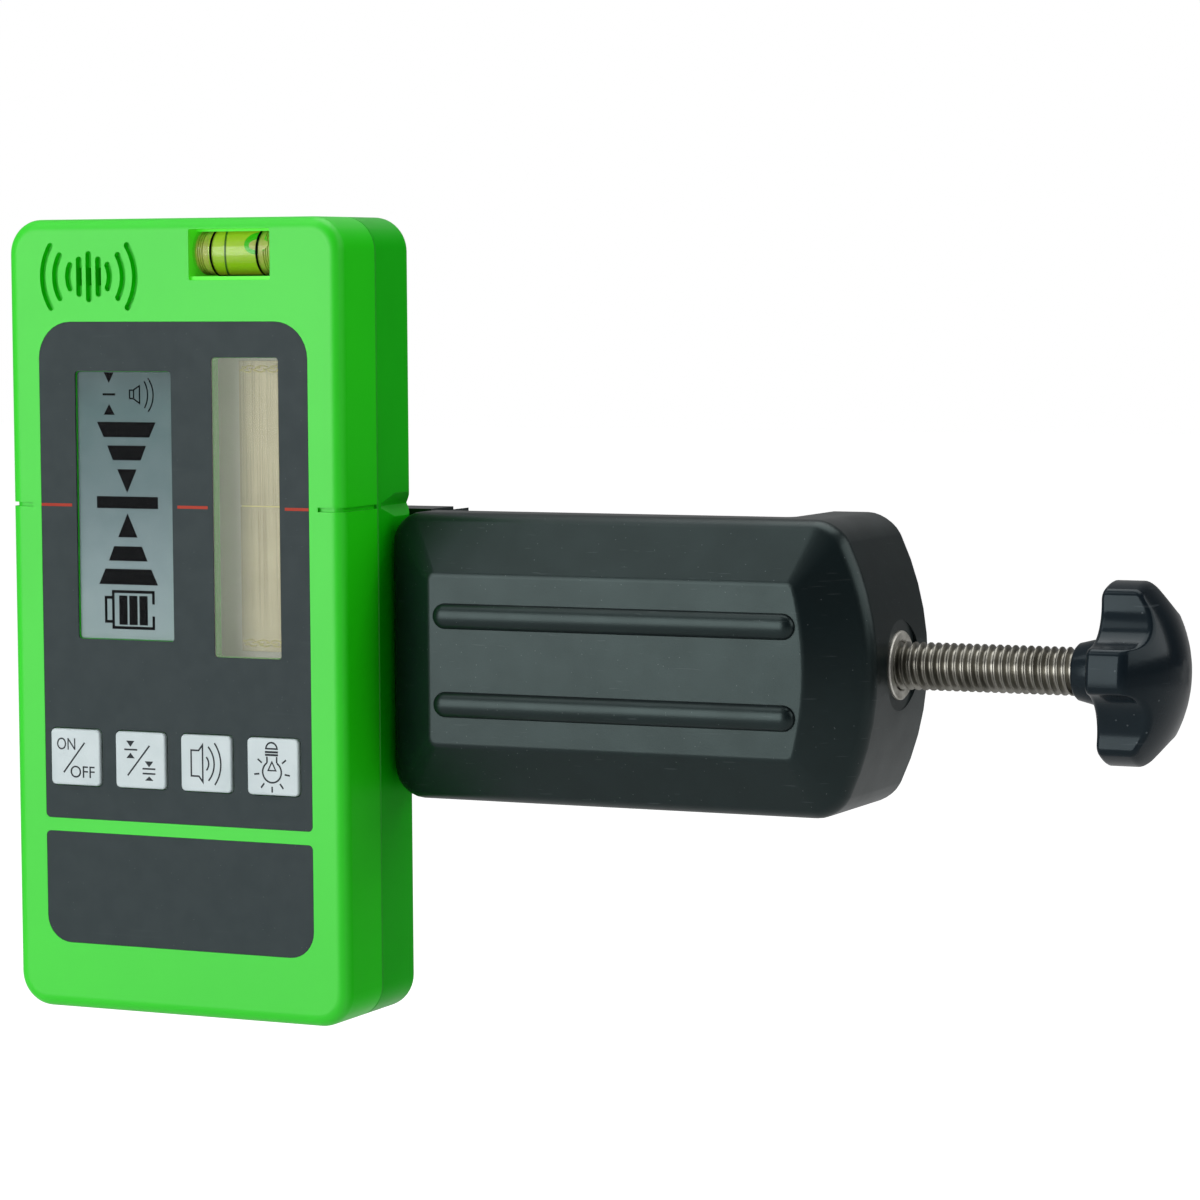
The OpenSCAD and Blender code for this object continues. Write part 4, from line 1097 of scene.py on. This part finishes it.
def bubblePart(name):
    # an egg shape kept to a thin skin of the tube's inner wall
    x, halfX, halfZ = bubble[name]
    egg = bmesh.new()
    bmesh.ops.create_uvsphere(egg, u_segments=48, v_segments=24, radius=1)
    bmesh.ops.scale(egg, vec=(halfX, 2 * vialR, halfZ), verts=egg.verts)
    bmesh.ops.translate(egg, vec=(x, vialMid.y, vialMid.z + bubble[name + "Rise"]), verts=egg.verts)
    inner, outer = glassR - bubble["depth"], glassR - bubble[name + "Gap"]
    end = vialMid.x + vial["half"] - bubble["endGap"]
    sleeve = tube(vialMid, "x", inner, outer, x - 2 * halfX, end, 96)
    return combine(egg, [sleeve], "INTERSECT")


def vialPlug(end, side):
    # distances in from the end, with their radius
    plugR, slope = glassR - plug["gap"], plug["slope"]
    rootR = plugR - plug["depth"]
    profile = [(0, 0)] + [(x, glassR - less) for x, less in plug["nose"]] + [(plug["noseEnd"], plugR)]
    for i in range(plug["ridges"]):
        start = plug["start"] + i * plug["pitch"]
        stop = start + 2 * slope + plug["floor"]
        profile += [(start, plugR), (start + slope, rootR), (stop - slope, rootR), (stop, plugR)]
    profile += [(plug["length"], plugR), (plug["length"], 0)]
    return lathe([(end + side * x, radius) for x, radius in profile], vialMid, "x", 96)


def vialBand(x, width, inner, outer):
    return tube(vialMid, "x", inner, outer, x - width / 2, x + width / 2, 96)


def makeVial():
    left, right = vialMid.x - vial["half"], vialMid.x + vial["half"]
    skin = tube(vialMid, "x", glassR, vialR, left, right, 96, vial["edge"])
    finishPiece("vialSleeve", skin, "vialGlass", "root", ["vial_tube"])
    plugs = joined([vialPlug(left + plug["gap"], 1), vialPlug(right - plug["gap"], -1)])
    finishPiece("vialPlugPair", plugs, "vialPlug", "root", ["vial_plugs"])
    # painted light: the liquid glows, and its yellow-green is paler across the middle where light passes
    # through the vial
    finishes["vialLiquid"] = rampFinish(
        "vialLiquid", "z", vialMid.z - vialR, vialMid.z + vialR,
        ((0.0, (128, 150, 30)), (0.1, (118, 160, 10)), (0.28, (124, 168, 14)), (0.5, (150, 188, 66)),
         (0.7, (152, 186, 52)), (0.9, (150, 172, 28))), (0.12, 0.2), 0.36)
    body = rod(vialMid, "x", glassR - vial["liquidGap"], left + plug["length"], right - plug["length"], 96)
    finishPiece("vialLiquidBody", body, "vialLiquid", "root", ["vial_liquid"])
    # painted light: a bright green rim and a pale core stand for light bent through the air bubble
    finishPiece("bubbleRim", bubblePart("rim"), "bubbleRimPaintedLight", "root")
    finishPiece("bubbleCore", bubblePart("core"), "bubbleCorePaintedLight", "root")


def makeVialLines():
    inner, outer = vialR - vialLines["sunk"], vialR + vialLines["proud"]
    bands = [vialBand(x, vialLines["width"], inner, outer) for x in vialLines["places"]]
    finishPiece("vialLines", joined(bands), "segmentInk", "root", ["vial_rings"])
    # painted refraction: a dark green band in the liquid stands for the far line seen through the liquid,
    # bent aside
    x = farLine["x"]
    band = vialBand(x, farLine["width"], glassR - farLine["depth"], glassR - farLine["gap"])
    lean = Matrix.Identity(4)
    lean[0][1] = farLine["lean"]
    space = Matrix.Translation((-x, vialR - vialMid.y, -vialMid.z))
    bmesh.ops.transform(band, matrix=lean, space=space, verts=band.verts)
    finishPiece("vialFarLine", band, "farGreen", "root")


makeVial()
makeVialLines()
print("vial")


# Keys and their legends

def makeKey(name):
    body = "key_" + name
    low, high = spanOf(body)
    capBack, flangeT = keyShape["capBack"], keyShape["flangeT"]
    face = low.y + keyShape["inkRoom"]
    cap = keyPlate(name, 0, face, capBack + overlap)
    bevelEdges(cap, rimEdges(cap, "y", face), keyShape["edge"], 4)
    skirt = plate(low, high, 0, capBack, capBack + flangeT, keyShape["corner"] + keyShape["flange"])
    cap = combine(cap, [skirt], "UNION")
    stem = rod((low + high) / 2, "y", keyShape["stemR"], capBack + flangeT - overlap, high.y)
    cap = combine(cap, [stem], "UNION")
    finishPiece(name + "KeyCap", cap, "keyPlastic", body, [body])


def lettering(bm, words, middle, width, height):
    curve = bpy.data.curves.new(words, "FONT")
    curve.body = words
    text = newObject(words, curve)
    flat = text.evaluated_get(bpy.context.evaluated_depsgraph_get())
    letters = bmesh.new()
    letters.from_mesh(flat.to_mesh())
    flat.to_mesh_clear()
    bpy.data.objects.remove(text)
    bpy.data.curves.remove(curve)
    bmesh.ops.remove_doubles(letters, verts=letters.verts, dist=0.0001)
    low = Vector([min(v.co[i] for v in letters.verts) for i in range(3)])
    high = Vector([max(v.co[i] for v in letters.verts) for i in range(3)])
    bmesh.ops.translate(letters, vec=-(low + high) / 2, verts=letters.verts)
    size, upright = high - low, Matrix.Rotation(math.radians(90), 3, "X")
    bmesh.ops.scale(letters, vec=(width / size.x, height / size.y, 0), verts=letters.verts)
    bmesh.ops.rotate(letters, cent=(0, 0, 0), matrix=upright, verts=letters.verts)
    bmesh.ops.translate(letters, vec=(middle[0], 0, middle[1]), verts=letters.verts)
    addPart(bm, letters)


legend = {"stroke": 0.34}
powerLegend = {"on": ((-2.2, 2.7), 4.4, 2.45), "off": ((1.67, -3.0), 5.8, 2.45),
               "slash": ((2.25, 3.07), (-2.87, -3.25))}
accuracyLegend = {"slash": ((2.25, 3.1), (-3.02, -3.22)),
                  "arrows": ((-3.26, -1.32, 3.95, 2.72), (-3.26, -1.32, 0.36, 1.48),
                             (1.09, 3.1, -0.13, -1.33), (1.09, 3.1, -4.1, -3.22)),  # left, right, base, tip
                  "bars": ((-3.76, -0.66, 2.13), (0.54, 3.57, -1.68), (0.54, 3.57, -2.67))}
soundLegend = {"horn": ((-3.6, -2.8), (-1.74, -2.8), (-0.58, -4.25), (-0.58, 4.25), (-1.74, 2.8),
                        (-3.6, 2.8)),
               # start, bulge and half height of each wave
               "waves": ((0.12, 0.66, 1.35), (0.58, 1.94, 3.47), (2.05, 3.49, 4.26))}
lightLegend = {"dome": (-1.7, 1.28, 3.5, 5.1), "bands": ((-1.7, 1.28, 2.78, 3.2), (-1.7, 1.28, 2.2, 2.62)),
               "bulb": ((-0.15, -1.05), 2.15, 122, 418), "neck": (1.12, 0.78, 2.05),
               "filament": (1.1, -0.88, 1.3), "rays": (38, -8, -52, -90, -128, -172, 142),
               "rayR": (2.95, 4.15)}


def drawPower(bm):
    for key, words in (("on", "ON"), ("off", "OFF")):
        lettering(bm, words, *powerLegend[key])
    strokeLine(bm, *powerLegend["slash"], legend["stroke"])


def drawAccuracy(bm):
    strokeLine(bm, *accuracyLegend["slash"], legend["stroke"])
    for left, right, base, tip in accuracyLegend["arrows"]:
        fillShape(bm, [(left, base), (right, base), ((left + right) / 2, tip)])
    for left, right, z in accuracyLegend["bars"]:
        fillBar(bm, left, right, z - legend["stroke"] / 2, z + legend["stroke"] / 2)


def drawSound(bm):
    ringShape(bm, soundLegend["horn"], legend["stroke"])
    for start, bulge, half in soundLegend["waves"]:
        sag = bulge - start
        radius = (half * half + sag * sag) / (2 * sag)
        swing = math.degrees(math.asin(half / radius))
        strokeArc(bm, (bulge - radius, 0), radius, -swing, swing, legend["stroke"])


def drawLight(bm):
    width = legend["stroke"]
    x0, x1, z0, z1 = lightLegend["dome"]
    mid, half = (x0 + x1) / 2, (x1 - x0) / 2
    arch = [(mid + half * math.cos(a), z0 + (z1 - z0) * math.sin(a)) for a in
            [math.pi * i / 10 for i in range(11)]]
    ringShape(bm, arch, width)
    for left, right, low, high in lightLegend["bands"]:
        fillBar(bm, left, right, low, high)
    centre, radius, start, end = lightLegend["bulb"]
    strokeArc(bm, centre, radius, start, end, width, 28)
    neckHalf, neckLow, neckHigh = lightLegend["neck"]
    for side in (-1, 1):
        x = centre[0] + side * neckHalf
        fillBar(bm, x - width / 2, x + width / 2, neckLow, neckHigh)
    half, base, tip = lightLegend["filament"]
    ringShape(bm, [(centre[0] - half, base), (centre[0] + half, base), (centre[0], tip)], 0.8 * width)
    for angle in lightLegend["rays"]:
        ray = direction(math.radians(angle))
        inner, outer = lightLegend["rayR"]
        strokeLine(bm, Vector(centre) + ray * inner, Vector(centre) + ray * outer, width)


def makeKeys():
    drawings = {"power": drawPower, "accuracy": drawAccuracy, "sound": drawSound, "light": drawLight}
    for name in keyNames:
        makeKey(name)
        low, high = spanOf("key_" + name)
        bm = bmesh.new()
        drawings[name](bm)
        middle = (low + high) / 2
        bmesh.ops.translate(bm, vec=(middle.x, 0, middle.z), verts=bm.verts)
        face = low.y + keyShape["inkRoom"]
        raiseInk(name + "Legend", bm, face, "legendInk", "key_" + name)


makeKeys()
print("keys")


# Clamp frame

clampLow, clampHigh = spanOf("clamp_frame")
clampMidZ = (clampLow.z + clampHigh.z) / 2
clampHalf = (clampHigh.z - clampLow.z) / 2
shoeHigh = spanOf("pressure_shoe")[1]
insertLow, insertHigh = spanOf("thread_insert")
screwLine = (insertLow + insertHigh) / 2
clamp = {"left": 39.4, "jawT": 4.0, "jawY": 31.5, "rimY": 4.1, "fieldY": -2.9, "spineY": 12.0, "border": 12.0,
         "endR": 57.0, "fieldEndR": 64.0, "corner": (6.5, 8.0), "fieldCorner": (1.6, 1.6), "rimEdge": 2.2,
         "fieldEdge": 0.6, "armX": insertLow.x, "innerR": 2.0, "backEdge": 1.0}
rib = {"start": 52.6, "length": 78.3, "height": 5.2, "pitch": 17.8, "proud": 1.8}
pocket = {"cells": 3, "wall": 3.0, "floor": 3.0, "rise": 15.0, "corner": 1.5}
mountPlate = {"left": clampLow.x, "back": 25.5, "corner": 3.0, "jawGap": 0.5, "pinR": 2.0, "pinL": 2.0,
              "boreR": 3.4}
spotFace = {"radius": 9.0, "boreR": 6.9, "proud": 0.6}


def endOutline(bm, left, right, half, endR, corner, y):
    # straight at the left, bowed at the right, all corners rounded
    centre = Vector((right - endR, y, clampMidZ))
    swing = math.asin(half / endR)
    first = bm.verts.new(centre + endR * Vector((math.cos(swing), 0, -math.sin(swing))))
    before = set(bm.verts)
    bmesh.ops.spin(bm, geom=[first], cent=centre, axis=(0, -1, 0), angle=2 * swing, steps=12)
    bow = [first] + sorted((v for v in bm.verts if v not in before), key=lambda v: v.co.z)
    ends = [bm.verts.new((left, y, clampMidZ + side * half)) for side in (1, -1)]
    bm.faces.new(bow + ends)
    lean = math.tan((math.pi / 2 - swing) / 2)
    for verts, reach in ((ends, corner[0]), ((bow[0], bow[-1]), corner[1] * lean)):
        bmesh.ops.bevel(bm, geom=list(verts), offset=reach, offset_type="OFFSET", segments=6, profile=0.5,
                        affect="VERTICES", material=-1)


def clampBody():
    bm = bmesh.new()
    right, border = clampHigh.x, clamp["border"]
    endOutline(bm, clamp["left"], right, clampHalf, clamp["endR"], clamp["corner"], clamp["rimY"])
    bmesh.ops.delete(bm, geom=bm.faces[:], context="FACES_ONLY")
    outer = bm.edges[:]
    endOutline(bm, clamp["left"] + border, right - border, clampHalf - border, clamp["fieldEndR"],
               clamp["fieldCorner"], clamp["fieldY"])
    inner = rimEdges(bm, "y", clamp["fieldY"])
    bmesh.ops.bridge_loops(bm, edges=outer + inner)
    walls = bmesh.ops.extrude_edge_only(bm, edges=outer)["geom"]
    back = [v for v in walls if isinstance(v, bmesh.types.BMVert)]
    bmesh.ops.translate(bm, vec=(0, clampHigh.y - clamp["rimY"], 0), verts=back)
    bmesh.ops.edgeloop_fill(bm, edges=rimEdges(bm, "y", clampHigh.y))
    bmesh.ops.recalc_face_normals(bm, faces=bm.faces)
    bevelEdges(bm, rimEdges(bm, "y", clamp["rimY"]), clamp["rimEdge"], 6)
    bevelEdges(bm, rimEdges(bm, "y", clamp["fieldY"]), clamp["fieldEdge"], 3)
    bevelEdges(bm, rimEdges(bm, "y", clampHigh.y), clamp["backEdge"], 3)
    return bm


def clampRib(side):
    # a long bead with round ends, flattened to its stand-out
    half, start, end = rib["height"] / 2, rib["start"], rib["start"] + rib["length"]
    centre = Vector((0, clamp["fieldY"], clampMidZ + side * rib["pitch"] / 2))
    turns = [math.pi / 2 * i / 7 for i in range(8)]
    profile = [(start + half - half * math.cos(a), half * math.sin(a)) for a in turns]
    profile += [(end - half + half * math.cos(a), half * math.sin(a)) for a in reversed(turns)]
    bm = lathe(profile, centre, "x", 48)
    bmesh.ops.scale(bm, vec=(1, rib["proud"] / half, 1), space=Matrix.Translation(-centre), verts=bm.verts)
    return bm


def clampGap():
    # the space for the staff, and the jaw's back cut down to its height
    jawX, armX = clamp["left"] + clamp["jawT"], clamp["armX"]
    spineY, jawY = clamp["spineY"], clamp["jawY"]
    outside, backEnd = clamp["left"] - past, clampHigh.y + past
    corners = [(jawX, spineY), (armX, spineY), (armX, backEnd), (outside, backEnd), (outside, jawY),
               (jawX, jawY)]
    gap = prism(corners, "z", clampLow.z - past, clampHigh.z + past)
    roundCorners(gap, "z", clamp["innerR"], lambda p: abs(p.y - spineY) < 0.1, 5)
    return gap


def clampPockets(start, end):
    count, wall = pocket["cells"], pocket["wall"]
    cell = (end - start - (count - 1) * wall) / count
    holes = []
    for i in range(count):
        x = start + i * (cell + wall)
        hole = block((x, clamp["fieldY"] + pocket["floor"], clampLow.z + pocket["rise"]),
                     (x + cell, clamp["spineY"] + past, clampHigh.z - pocket["rise"]))
        roundCorners(hole, "y", pocket["corner"], segments=5)
        holes.append(hole)
    return holes


def insertSeat():
    # a bore through the arm, with a flat face round it outside
    start, spotX, outside = clamp["armX"] - past, insertHigh.x - spotFace["proud"], clampHigh.x + past
    boreR, spotR = spotFace["boreR"], spotFace["radius"]
    profile = [(start, 0), (start, boreR), (spotX, boreR), (spotX, spotR), (outside, spotR), (outside, 0)]
    return lathe(profile, screwLine, "x", 72)


def makeClampFrame():
    jawX, border = clamp["left"] + clamp["jawT"], clamp["border"]
    body = combine(clampBody(), [clampGap()])
    body = combine(body, [clampRib(-1), clampRib(1)], "UNION")
    back = block((mountPlate["left"], backY, clampLow.z),
                 (jawX - mountPlate["jawGap"], mountPlate["back"], clampHigh.z))
    roundCorners(back, "y", mountPlate["corner"], lambda p: p.x < clamp["left"])
    body = combine(body, [back], "UNION")
    spots = [(mountSpot.x, clampMidZ + side * mountSeat["pinSpread"]) for side in (-1, 1)]
    pins = rods(spots, mountPlate["pinR"], backY - mountPlate["pinL"], backY + overlap, 32)
    body = combine(body, pins, "UNION")
    cuts = clampPockets(jawX + border, clamp["armX"] - border)
    cuts.append(insertSeat())
    cuts.append(rod(mountSpot, "y", mountPlate["boreR"], backY - past, mountPlate["back"] + past))
    body = combine(body, cuts)
    finishPiece("clampBody", body, "clampBlack", "root", ["clamp_frame"], 22)


makeClampFrame()
print("clamp frame")


# Clamp screw, knob and insert

thread = {"pitch": 1.5875, "radius": 4.7625, "depth": 0.9, "steps": 28, "boreR": 4.86, "tipR": 3.2,
          "tipEdge": 0.4, "neckR": 2.44, "clipGap": 0.06}
clampScrewLow, clampScrewHigh = spanOf("clamp_screw")


def helix(axis, centre, screw, start, end):
    # one turn's profile, swept along the axis and trimmed square at both ends
    radius, depth, pitch, steps = (screw[key] for key in ("radius", "depth", "pitch", "steps"))
    turns = math.ceil((end - start) / pitch) + 2
    root = radius - depth
    foot, brow = root + 0.18 * depth, radius - 0.14 * depth
    shape = ((0.0, root), (0.1, root), (0.2, foot), (0.36, brow), (0.44, radius),
             (0.56, radius), (0.64, brow), (0.8, foot), (0.9, root), (1.0, root))
    bm = bmesh.new()
    turn = turnAxis(axis)
    line = drawProfile(bm, [(start - pitch + share * pitch, out) for share, out in shape], centre, axis)
    bmesh.ops.spin(bm, geom=line, cent=centre, axis=turn, dvec=turn * pitch / steps,
                   angle=math.tau * turns, steps=steps * turns)
    bmesh.ops.remove_doubles(bm, verts=bm.verts, dist=0.01)
    for place, outward in ((start, -1), (end, 1)):
        cut = Vector(centre)
        cut[at(axis)] = place
        opened = sliceAt(bm, cut, turn * outward, clear=True)
        bmesh.ops.holes_fill(bm, edges=[e for e in opened if isinstance(e, bmesh.types.BMEdge)])
    return bm


def makeClampScrew():
    shoulder, tipX = shoeHigh.x, clampScrewLow.x
    body = helix("x", screwLine, thread, shoulder, clampScrewHigh.x)
    clipLow, clipHigh = spanOf("shoe_clip")
    tip, neck, edge = thread["tipR"], thread["neckR"], thread["tipEdge"]
    neckStart, neckEnd = clipLow.x - thread["clipGap"], clipHigh.x + thread["clipGap"]
    end = lathe([(tipX, 0), (tipX, tip - edge), (tipX + edge, tip), (neckStart, tip), (neckStart, neck),
                 (neckEnd, neck), (neckEnd, tip), (shoulder + past, tip), (shoulder + past, 0)],
                screwLine, "x", 40)
    body = combine(body, [end], "UNION")
    finishPiece("clampSpindle", body, "steel", "clamp_screw", ["clamp_screw"], 40)
    outer = (insertHigh.z - insertLow.z) / 2
    ring = tube(screwLine, "x", thread["boreR"], outer, insertLow.x, insertHigh.x, 72, 0.25)
    finishPiece("insertSleeve", ring, "facedSteel", "root", ["thread_insert"])


knobLow, knobHigh = spanOf("star_knob")
knob = {"rimX": 187.6, "radius": 18.0, "dome": 7.0, "lobes": 5, "scallopR": 9.0, "scallopDepth": 4.5,
        "phase": 12, "lobeEdge": 1.8, "edge": 1.1, "rings": 9, "collarR": (5.6, 6.9), "collarEdge": 0.5,
        "collarEnd": 1.2, "bore": 8.0}
domeR = (knob["radius"] ** 2 + knob["dome"] ** 2) / (2 * knob["dome"])


def domeX(radius):
    return knobHigh.x - domeR + math.sqrt(domeR ** 2 - radius ** 2)


def starOutline():
    # lobe, rounded corner and scallop in turn, as directions with their radius
    radius, scallopR, corner = knob["radius"], knob["scallopR"], knob["lobeEdge"]
    away = radius - knob["scallopDepth"] + scallopR
    inner, reach = radius - corner, scallopR + corner
    turn = math.acos((inner ** 2 + away ** 2 - reach ** 2) / (2 * inner * away))
    cornerMid = inner * direction(turn)
    leave = (Vector((away, 0)) - cornerMid).angle_signed(Vector((1, 0)))
    half = math.acos((away ** 2 + reach ** 2 - inner ** 2) / (2 * away * reach))
    side = [Vector((away, 0)) - scallopR * direction(-half * i / 6) for i in range(7)]
    side += [cornerMid + corner * direction(leave + (turn - leave) * i / 6) for i in range(1, 7)]
    lobe = math.pi / knob["lobes"]
    side += [radius * direction(turn + (lobe - turn) * i / 3) for i in (1, 2, 3)]
    petal = side + [Vector((p.x, -p.y)) for p in side[1:-1]]
    petal = sorted((math.atan2(p.y, p.x), p.length) for p in petal)
    start = math.radians(knob["phase"])
    return [(start + 2 * lobe * i + angle, out) for i in range(knob["lobes"]) for angle, out in petal]


def starLoop(bm, outline, place):
    # place turns the outline's radius into a radius and a position along the screw
    verts = []
    for angle, out in outline:
        radius, x = place(out)
        y, z = screwLine.y + radius * math.sin(angle), screwLine.z - radius * math.cos(angle)
        verts.append(bm.verts.new((x, y, z)))
    return [bm.edges.new(pair) for pair in zip(verts, verts[1:] + verts[:1])]


def wallBend(radius, share):
    # the wall bends over into the dome
    edge, rest, over = knob["edge"], 1 - share, domeX(radius)
    x = rest ** 2 * (over - edge) + 2 * share * rest * over + share ** 2 * domeX(radius - edge)
    return radius - edge * share ** 2, x


def makeKnob():
    rimX, edge, outline = knob["rimX"], knob["edge"], starOutline()
    turns = [math.pi / 2 * i / 5 for i in range(6)]
    places = [lambda r, a=a: (r - edge + edge * math.sin(a), rimX + edge - edge * math.cos(a)) for a in turns]
    places += [lambda r, t=i / 5: wallBend(r, t) for i in range(6)]
    for share in [1 - i / knob["rings"] for i in range(1, knob["rings"])]:
        places.append(lambda r, s=share: ((r - edge) * s, domeX((r - edge) * s)))
    star = bmesh.new()
    loops = [starLoop(star, outline, place) for place in places]
    for first, second in zip(loops, loops[1:]):
        bmesh.ops.bridge_loops(star, edges=first + second)
    for end in (loops[0], loops[-1]):
        bmesh.ops.edgeloop_fill(star, edges=end)
    small, large = knob["collarR"]
    start, cut = knobLow.x, knob["collarEdge"]
    collar = lathe([(start, 0), (start, small - cut), (start + cut, small), (rimX - knob["collarEnd"], large),
                    (rimX + past, large), (rimX + past, 0)], screwLine, "x")
    star = combine(star, [collar], "UNION")
    star = combine(star, [rod(screwLine, "x", thread["boreR"], knobLow.x - past, rimX + knob["bore"])])
    finishPiece("starKnobBody", star, "knobBlack", "clamp_screw", ["star_knob"])


makeClampScrew()
makeKnob()
print("screw and knob")


# Mount screw, shoe and small hardware

mountScrew = {"radius": 3.175, "pitch": 1.27, "depth": 0.72, "steps": 24, "boreR": 3.275, "headEdge": 0.6,
              "headRoom": 0.03}


def makeMountScrew():
    low, high = spanOf("mount_screw")
    washerLow, washerHigh = spanOf("mount_washer")
    head = nodeCopy("mount_screw")
    sliceAt(head, (0, washerHigh.y, 0), (0, -1, 0), clear=True)
    bmesh.ops.holes_fill(head, edges=[e for e in head.edges if e.is_boundary])
    bevelEdges(head, sharpEdges(head, 50, lambda p: p.y > high.y - 0.01), mountScrew["headEdge"], 3)
    shank = helix("y", mountSpot, mountScrew, low.y, washerHigh.y + past / 2)
    head = combine(head, [shank], "UNION")
    finishPiece("mountThumbScrew", head, "darkPlastic", "mount_screw", ["mount_screw"])
    ring = tube(mountSpot, "y", mountScrew["boreR"], (washerHigh.z - washerLow.z) / 2, washerLow.y,
                washerHigh.y - mountScrew["headRoom"], 64, 0.12)
    finishPiece("mountWasherRing", ring, "tin", "mount_washer", ["mount_washer"])
    ring = tube(mountSpot, "y", mountScrew["boreR"], (mountHigh.z - mountLow.z) / 2, mountLow.y, mountHigh.y,
                64, 0.25)
    finishPiece("mountBrassInsert", ring, "brass", "root", ["mount_insert"])


softCopies = {
    "shoePlate": ("pressure_shoe", 0.6, "clampBlack", "pressure_shoe", "clamp_black"),
    "shoeRubber": ("shoe_pad", 0.4, "rubber", "pressure_shoe", "rubber"),
    "shoeRetainer": ("shoe_clip", 0.12, "tin", "clamp_screw", "steel"),
    "caseScrewSet": ("case_screws", 0.15, "tin", "root", "steel"),
    "batteryCell": ("battery", 0.8, "batteryCan", "root", "battery_can"),
    "batteryClip": ("battery_snap", 0.5, "darkPlastic", "root", "dark_plastic"),
}


def makeSoftCopies():
    for name, (node, width, finish, body, slot) in softCopies.items():
        bm = nodeCopy(node)
        bevelEdges(bm, sharpEdges(bm, 50), width, 3)
        finishPiece(name, bm, finish, body, [node])


makeMountScrew()
makeSoftCopies()

keptNodes = {
    "case_seal": "rubber", "lcd_backlight": "whitePlastic", "lcd_frame": "whitePlastic",
    "contact_strips": "rubber", "main_board": "boardGreen", "board_screws": "tin",
    "controller_chip": "darkPlastic", "switch_bodies": "darkPlastic", "photocell_upper": "photocell",
    "photocell_lower": "photocell", "buzzer": "darkPlastic", "buzzer_gasket": "rubber", "lead_red": "redWire",
    "lead_black": "blackWire",
}
keptNodes.update({"plunger_" + name: "plungerOrange" for name in keyNames})


def dressKeptNodes():
    for node, finish in keptNodes.items():
        cadNodes[node].data.materials.clear()
        cadNodes[node].data.materials.append(finishes[finish])


dressKeptNodes()
print("hardware and kept nodes")


# Floor, light and camera

stage = {"floorZ": -0.12, "floorSize": 12.0, "target": (0.06, 0.0, 0.08), "worldLow": 0.03, "worldHigh": 0.3,
         "darkWay": (1.0, -0.09, 0.0), "darkEdge": (-0.1, 0.45), "floorGlow": 0.9, "floorSheen": 0.12}
softboxes = {
    # azimuth from the display side towards the knob, elevation, distance, width, height, power
    "leftSoftbox": (-24, 6, 1.1, 0.8, 0.9, 8.8),
    "upperSoftbox": (-48, 56, 1.1, 0.7, 0.5, 1.7),
    "topSoftbox": (170, 78, 1.0, 0.9, 0.7, 5.0),
    "sideSoftbox": (105, 25, 1.3, 1.2, 0.9, 6.0),
}
photoCamera = {"focalPixels": 4169.18, "framePixels": 1200, "sensor": 36.0, "azimuth": 25.0, "pitch": 4.426,
               "roll": -0.366, "place": (0.43540, -0.74456, 0.15051)}


def makeFloor():
    bm = bmesh.new()
    bmesh.ops.create_grid(bm, x_segments=8, y_segments=8, size=stage["floorSize"] / 2)
    bmesh.ops.translate(bm, vec=(0, 0, stage["floorZ"]), verts=bm.verts)
    floor = newObject("floor", meshFrom("floor", bm))
    finish, tree, shader = newFinish("paleFloor", {"Roughness": 0.9, "Emission Color": (1, 1, 1, 1)})
    soft = noise(tree, objectPlace(tree), 6.0, 2.0)
    feed(tree, shader.inputs["Base Color"], mixColour(tree, soft, tint(196, 196, 196), tint(190, 190, 190)))
    seen = addNode(tree, "LightPath").outputs["Is Camera Ray"]
    glow = mapRange(tree, seen, 0.0, 1.0, stage["floorSheen"], stage["floorGlow"])
    feed(tree, shader.inputs["Emission Strength"], glow)
    floor.data.materials.append(finish)


def makeLights():
    target = Vector(stage["target"])
    for name, (azimuth, elevation, distance, width, height, power) in softboxes.items():
        turn, rise = math.radians(azimuth), math.radians(elevation)
        away = Vector((math.sin(turn) * math.cos(rise), -math.cos(turn) * math.cos(rise), math.sin(rise)))
        lamp = bpy.data.lights.new(name, "AREA")
        lamp.shape = "RECTANGLE"
        lamp.size = width
        lamp.size_y = height
        lamp.energy = power
        box = newObject(name, lamp)
        box.location = target + away * distance
        box.rotation_euler = (-away).to_track_quat("-Z", "Y").to_euler()
        box.visible_camera = False
    world = bpy.data.worlds.new("studio")
    world.use_nodes = True
    bpy.context.scene.world = world
    tree = world.node_tree
    sky = tree.nodes["Background"]
    seen = addNode(tree, "LightPath").outputs["Is Camera Ray"]
    way = addNode(tree, "VectorMath", operation="DOT_PRODUCT")
    feed(tree, way.inputs[0], addNode(tree, "TexCoord").outputs["Generated"])
    feed(tree, way.inputs[1], stage["darkWay"])
    glow = mapRange(tree, way.outputs["Value"], *stage["darkEdge"], stage["worldHigh"], stage["worldLow"])
    feed(tree, sky.inputs["Color"], (1, 1, 1, 1))
    feed(tree, sky.inputs["Strength"], mapRange(tree, seen, 0.0, 1.0, glow, 1.0))


def makeCamera():
    turn, pitch, roll = (math.radians(photoCamera[k]) for k in ("azimuth", "pitch", "roll"))
    ahead = Vector((-math.sin(turn) * math.cos(pitch), math.cos(turn) * math.cos(pitch), -math.sin(pitch)))
    level = Vector((math.cos(turn), math.sin(turn), 0))
    above = level.cross(ahead)
    right = math.cos(roll) * level + math.sin(roll) * above
    up = math.cos(roll) * above - math.sin(roll) * level
    lens = bpy.data.cameras.new("photoCamera")
    lens.sensor_width = photoCamera["sensor"]
    lens.lens = photoCamera["focalPixels"] / photoCamera["framePixels"] * photoCamera["sensor"]
    lens.clip_start = 0.01
    camera = newObject("photoCamera", lens)
    facing = Matrix((right, up, -ahead)).transposed().to_4x4()
    camera.matrix_world = Matrix.Translation(photoCamera["place"]) @ facing
    bpy.context.scene.camera = camera


makeFloor()
makeLights()
makeCamera()
bpy.context.scene.view_settings.view_transform = "Standard"
print("stage and camera")
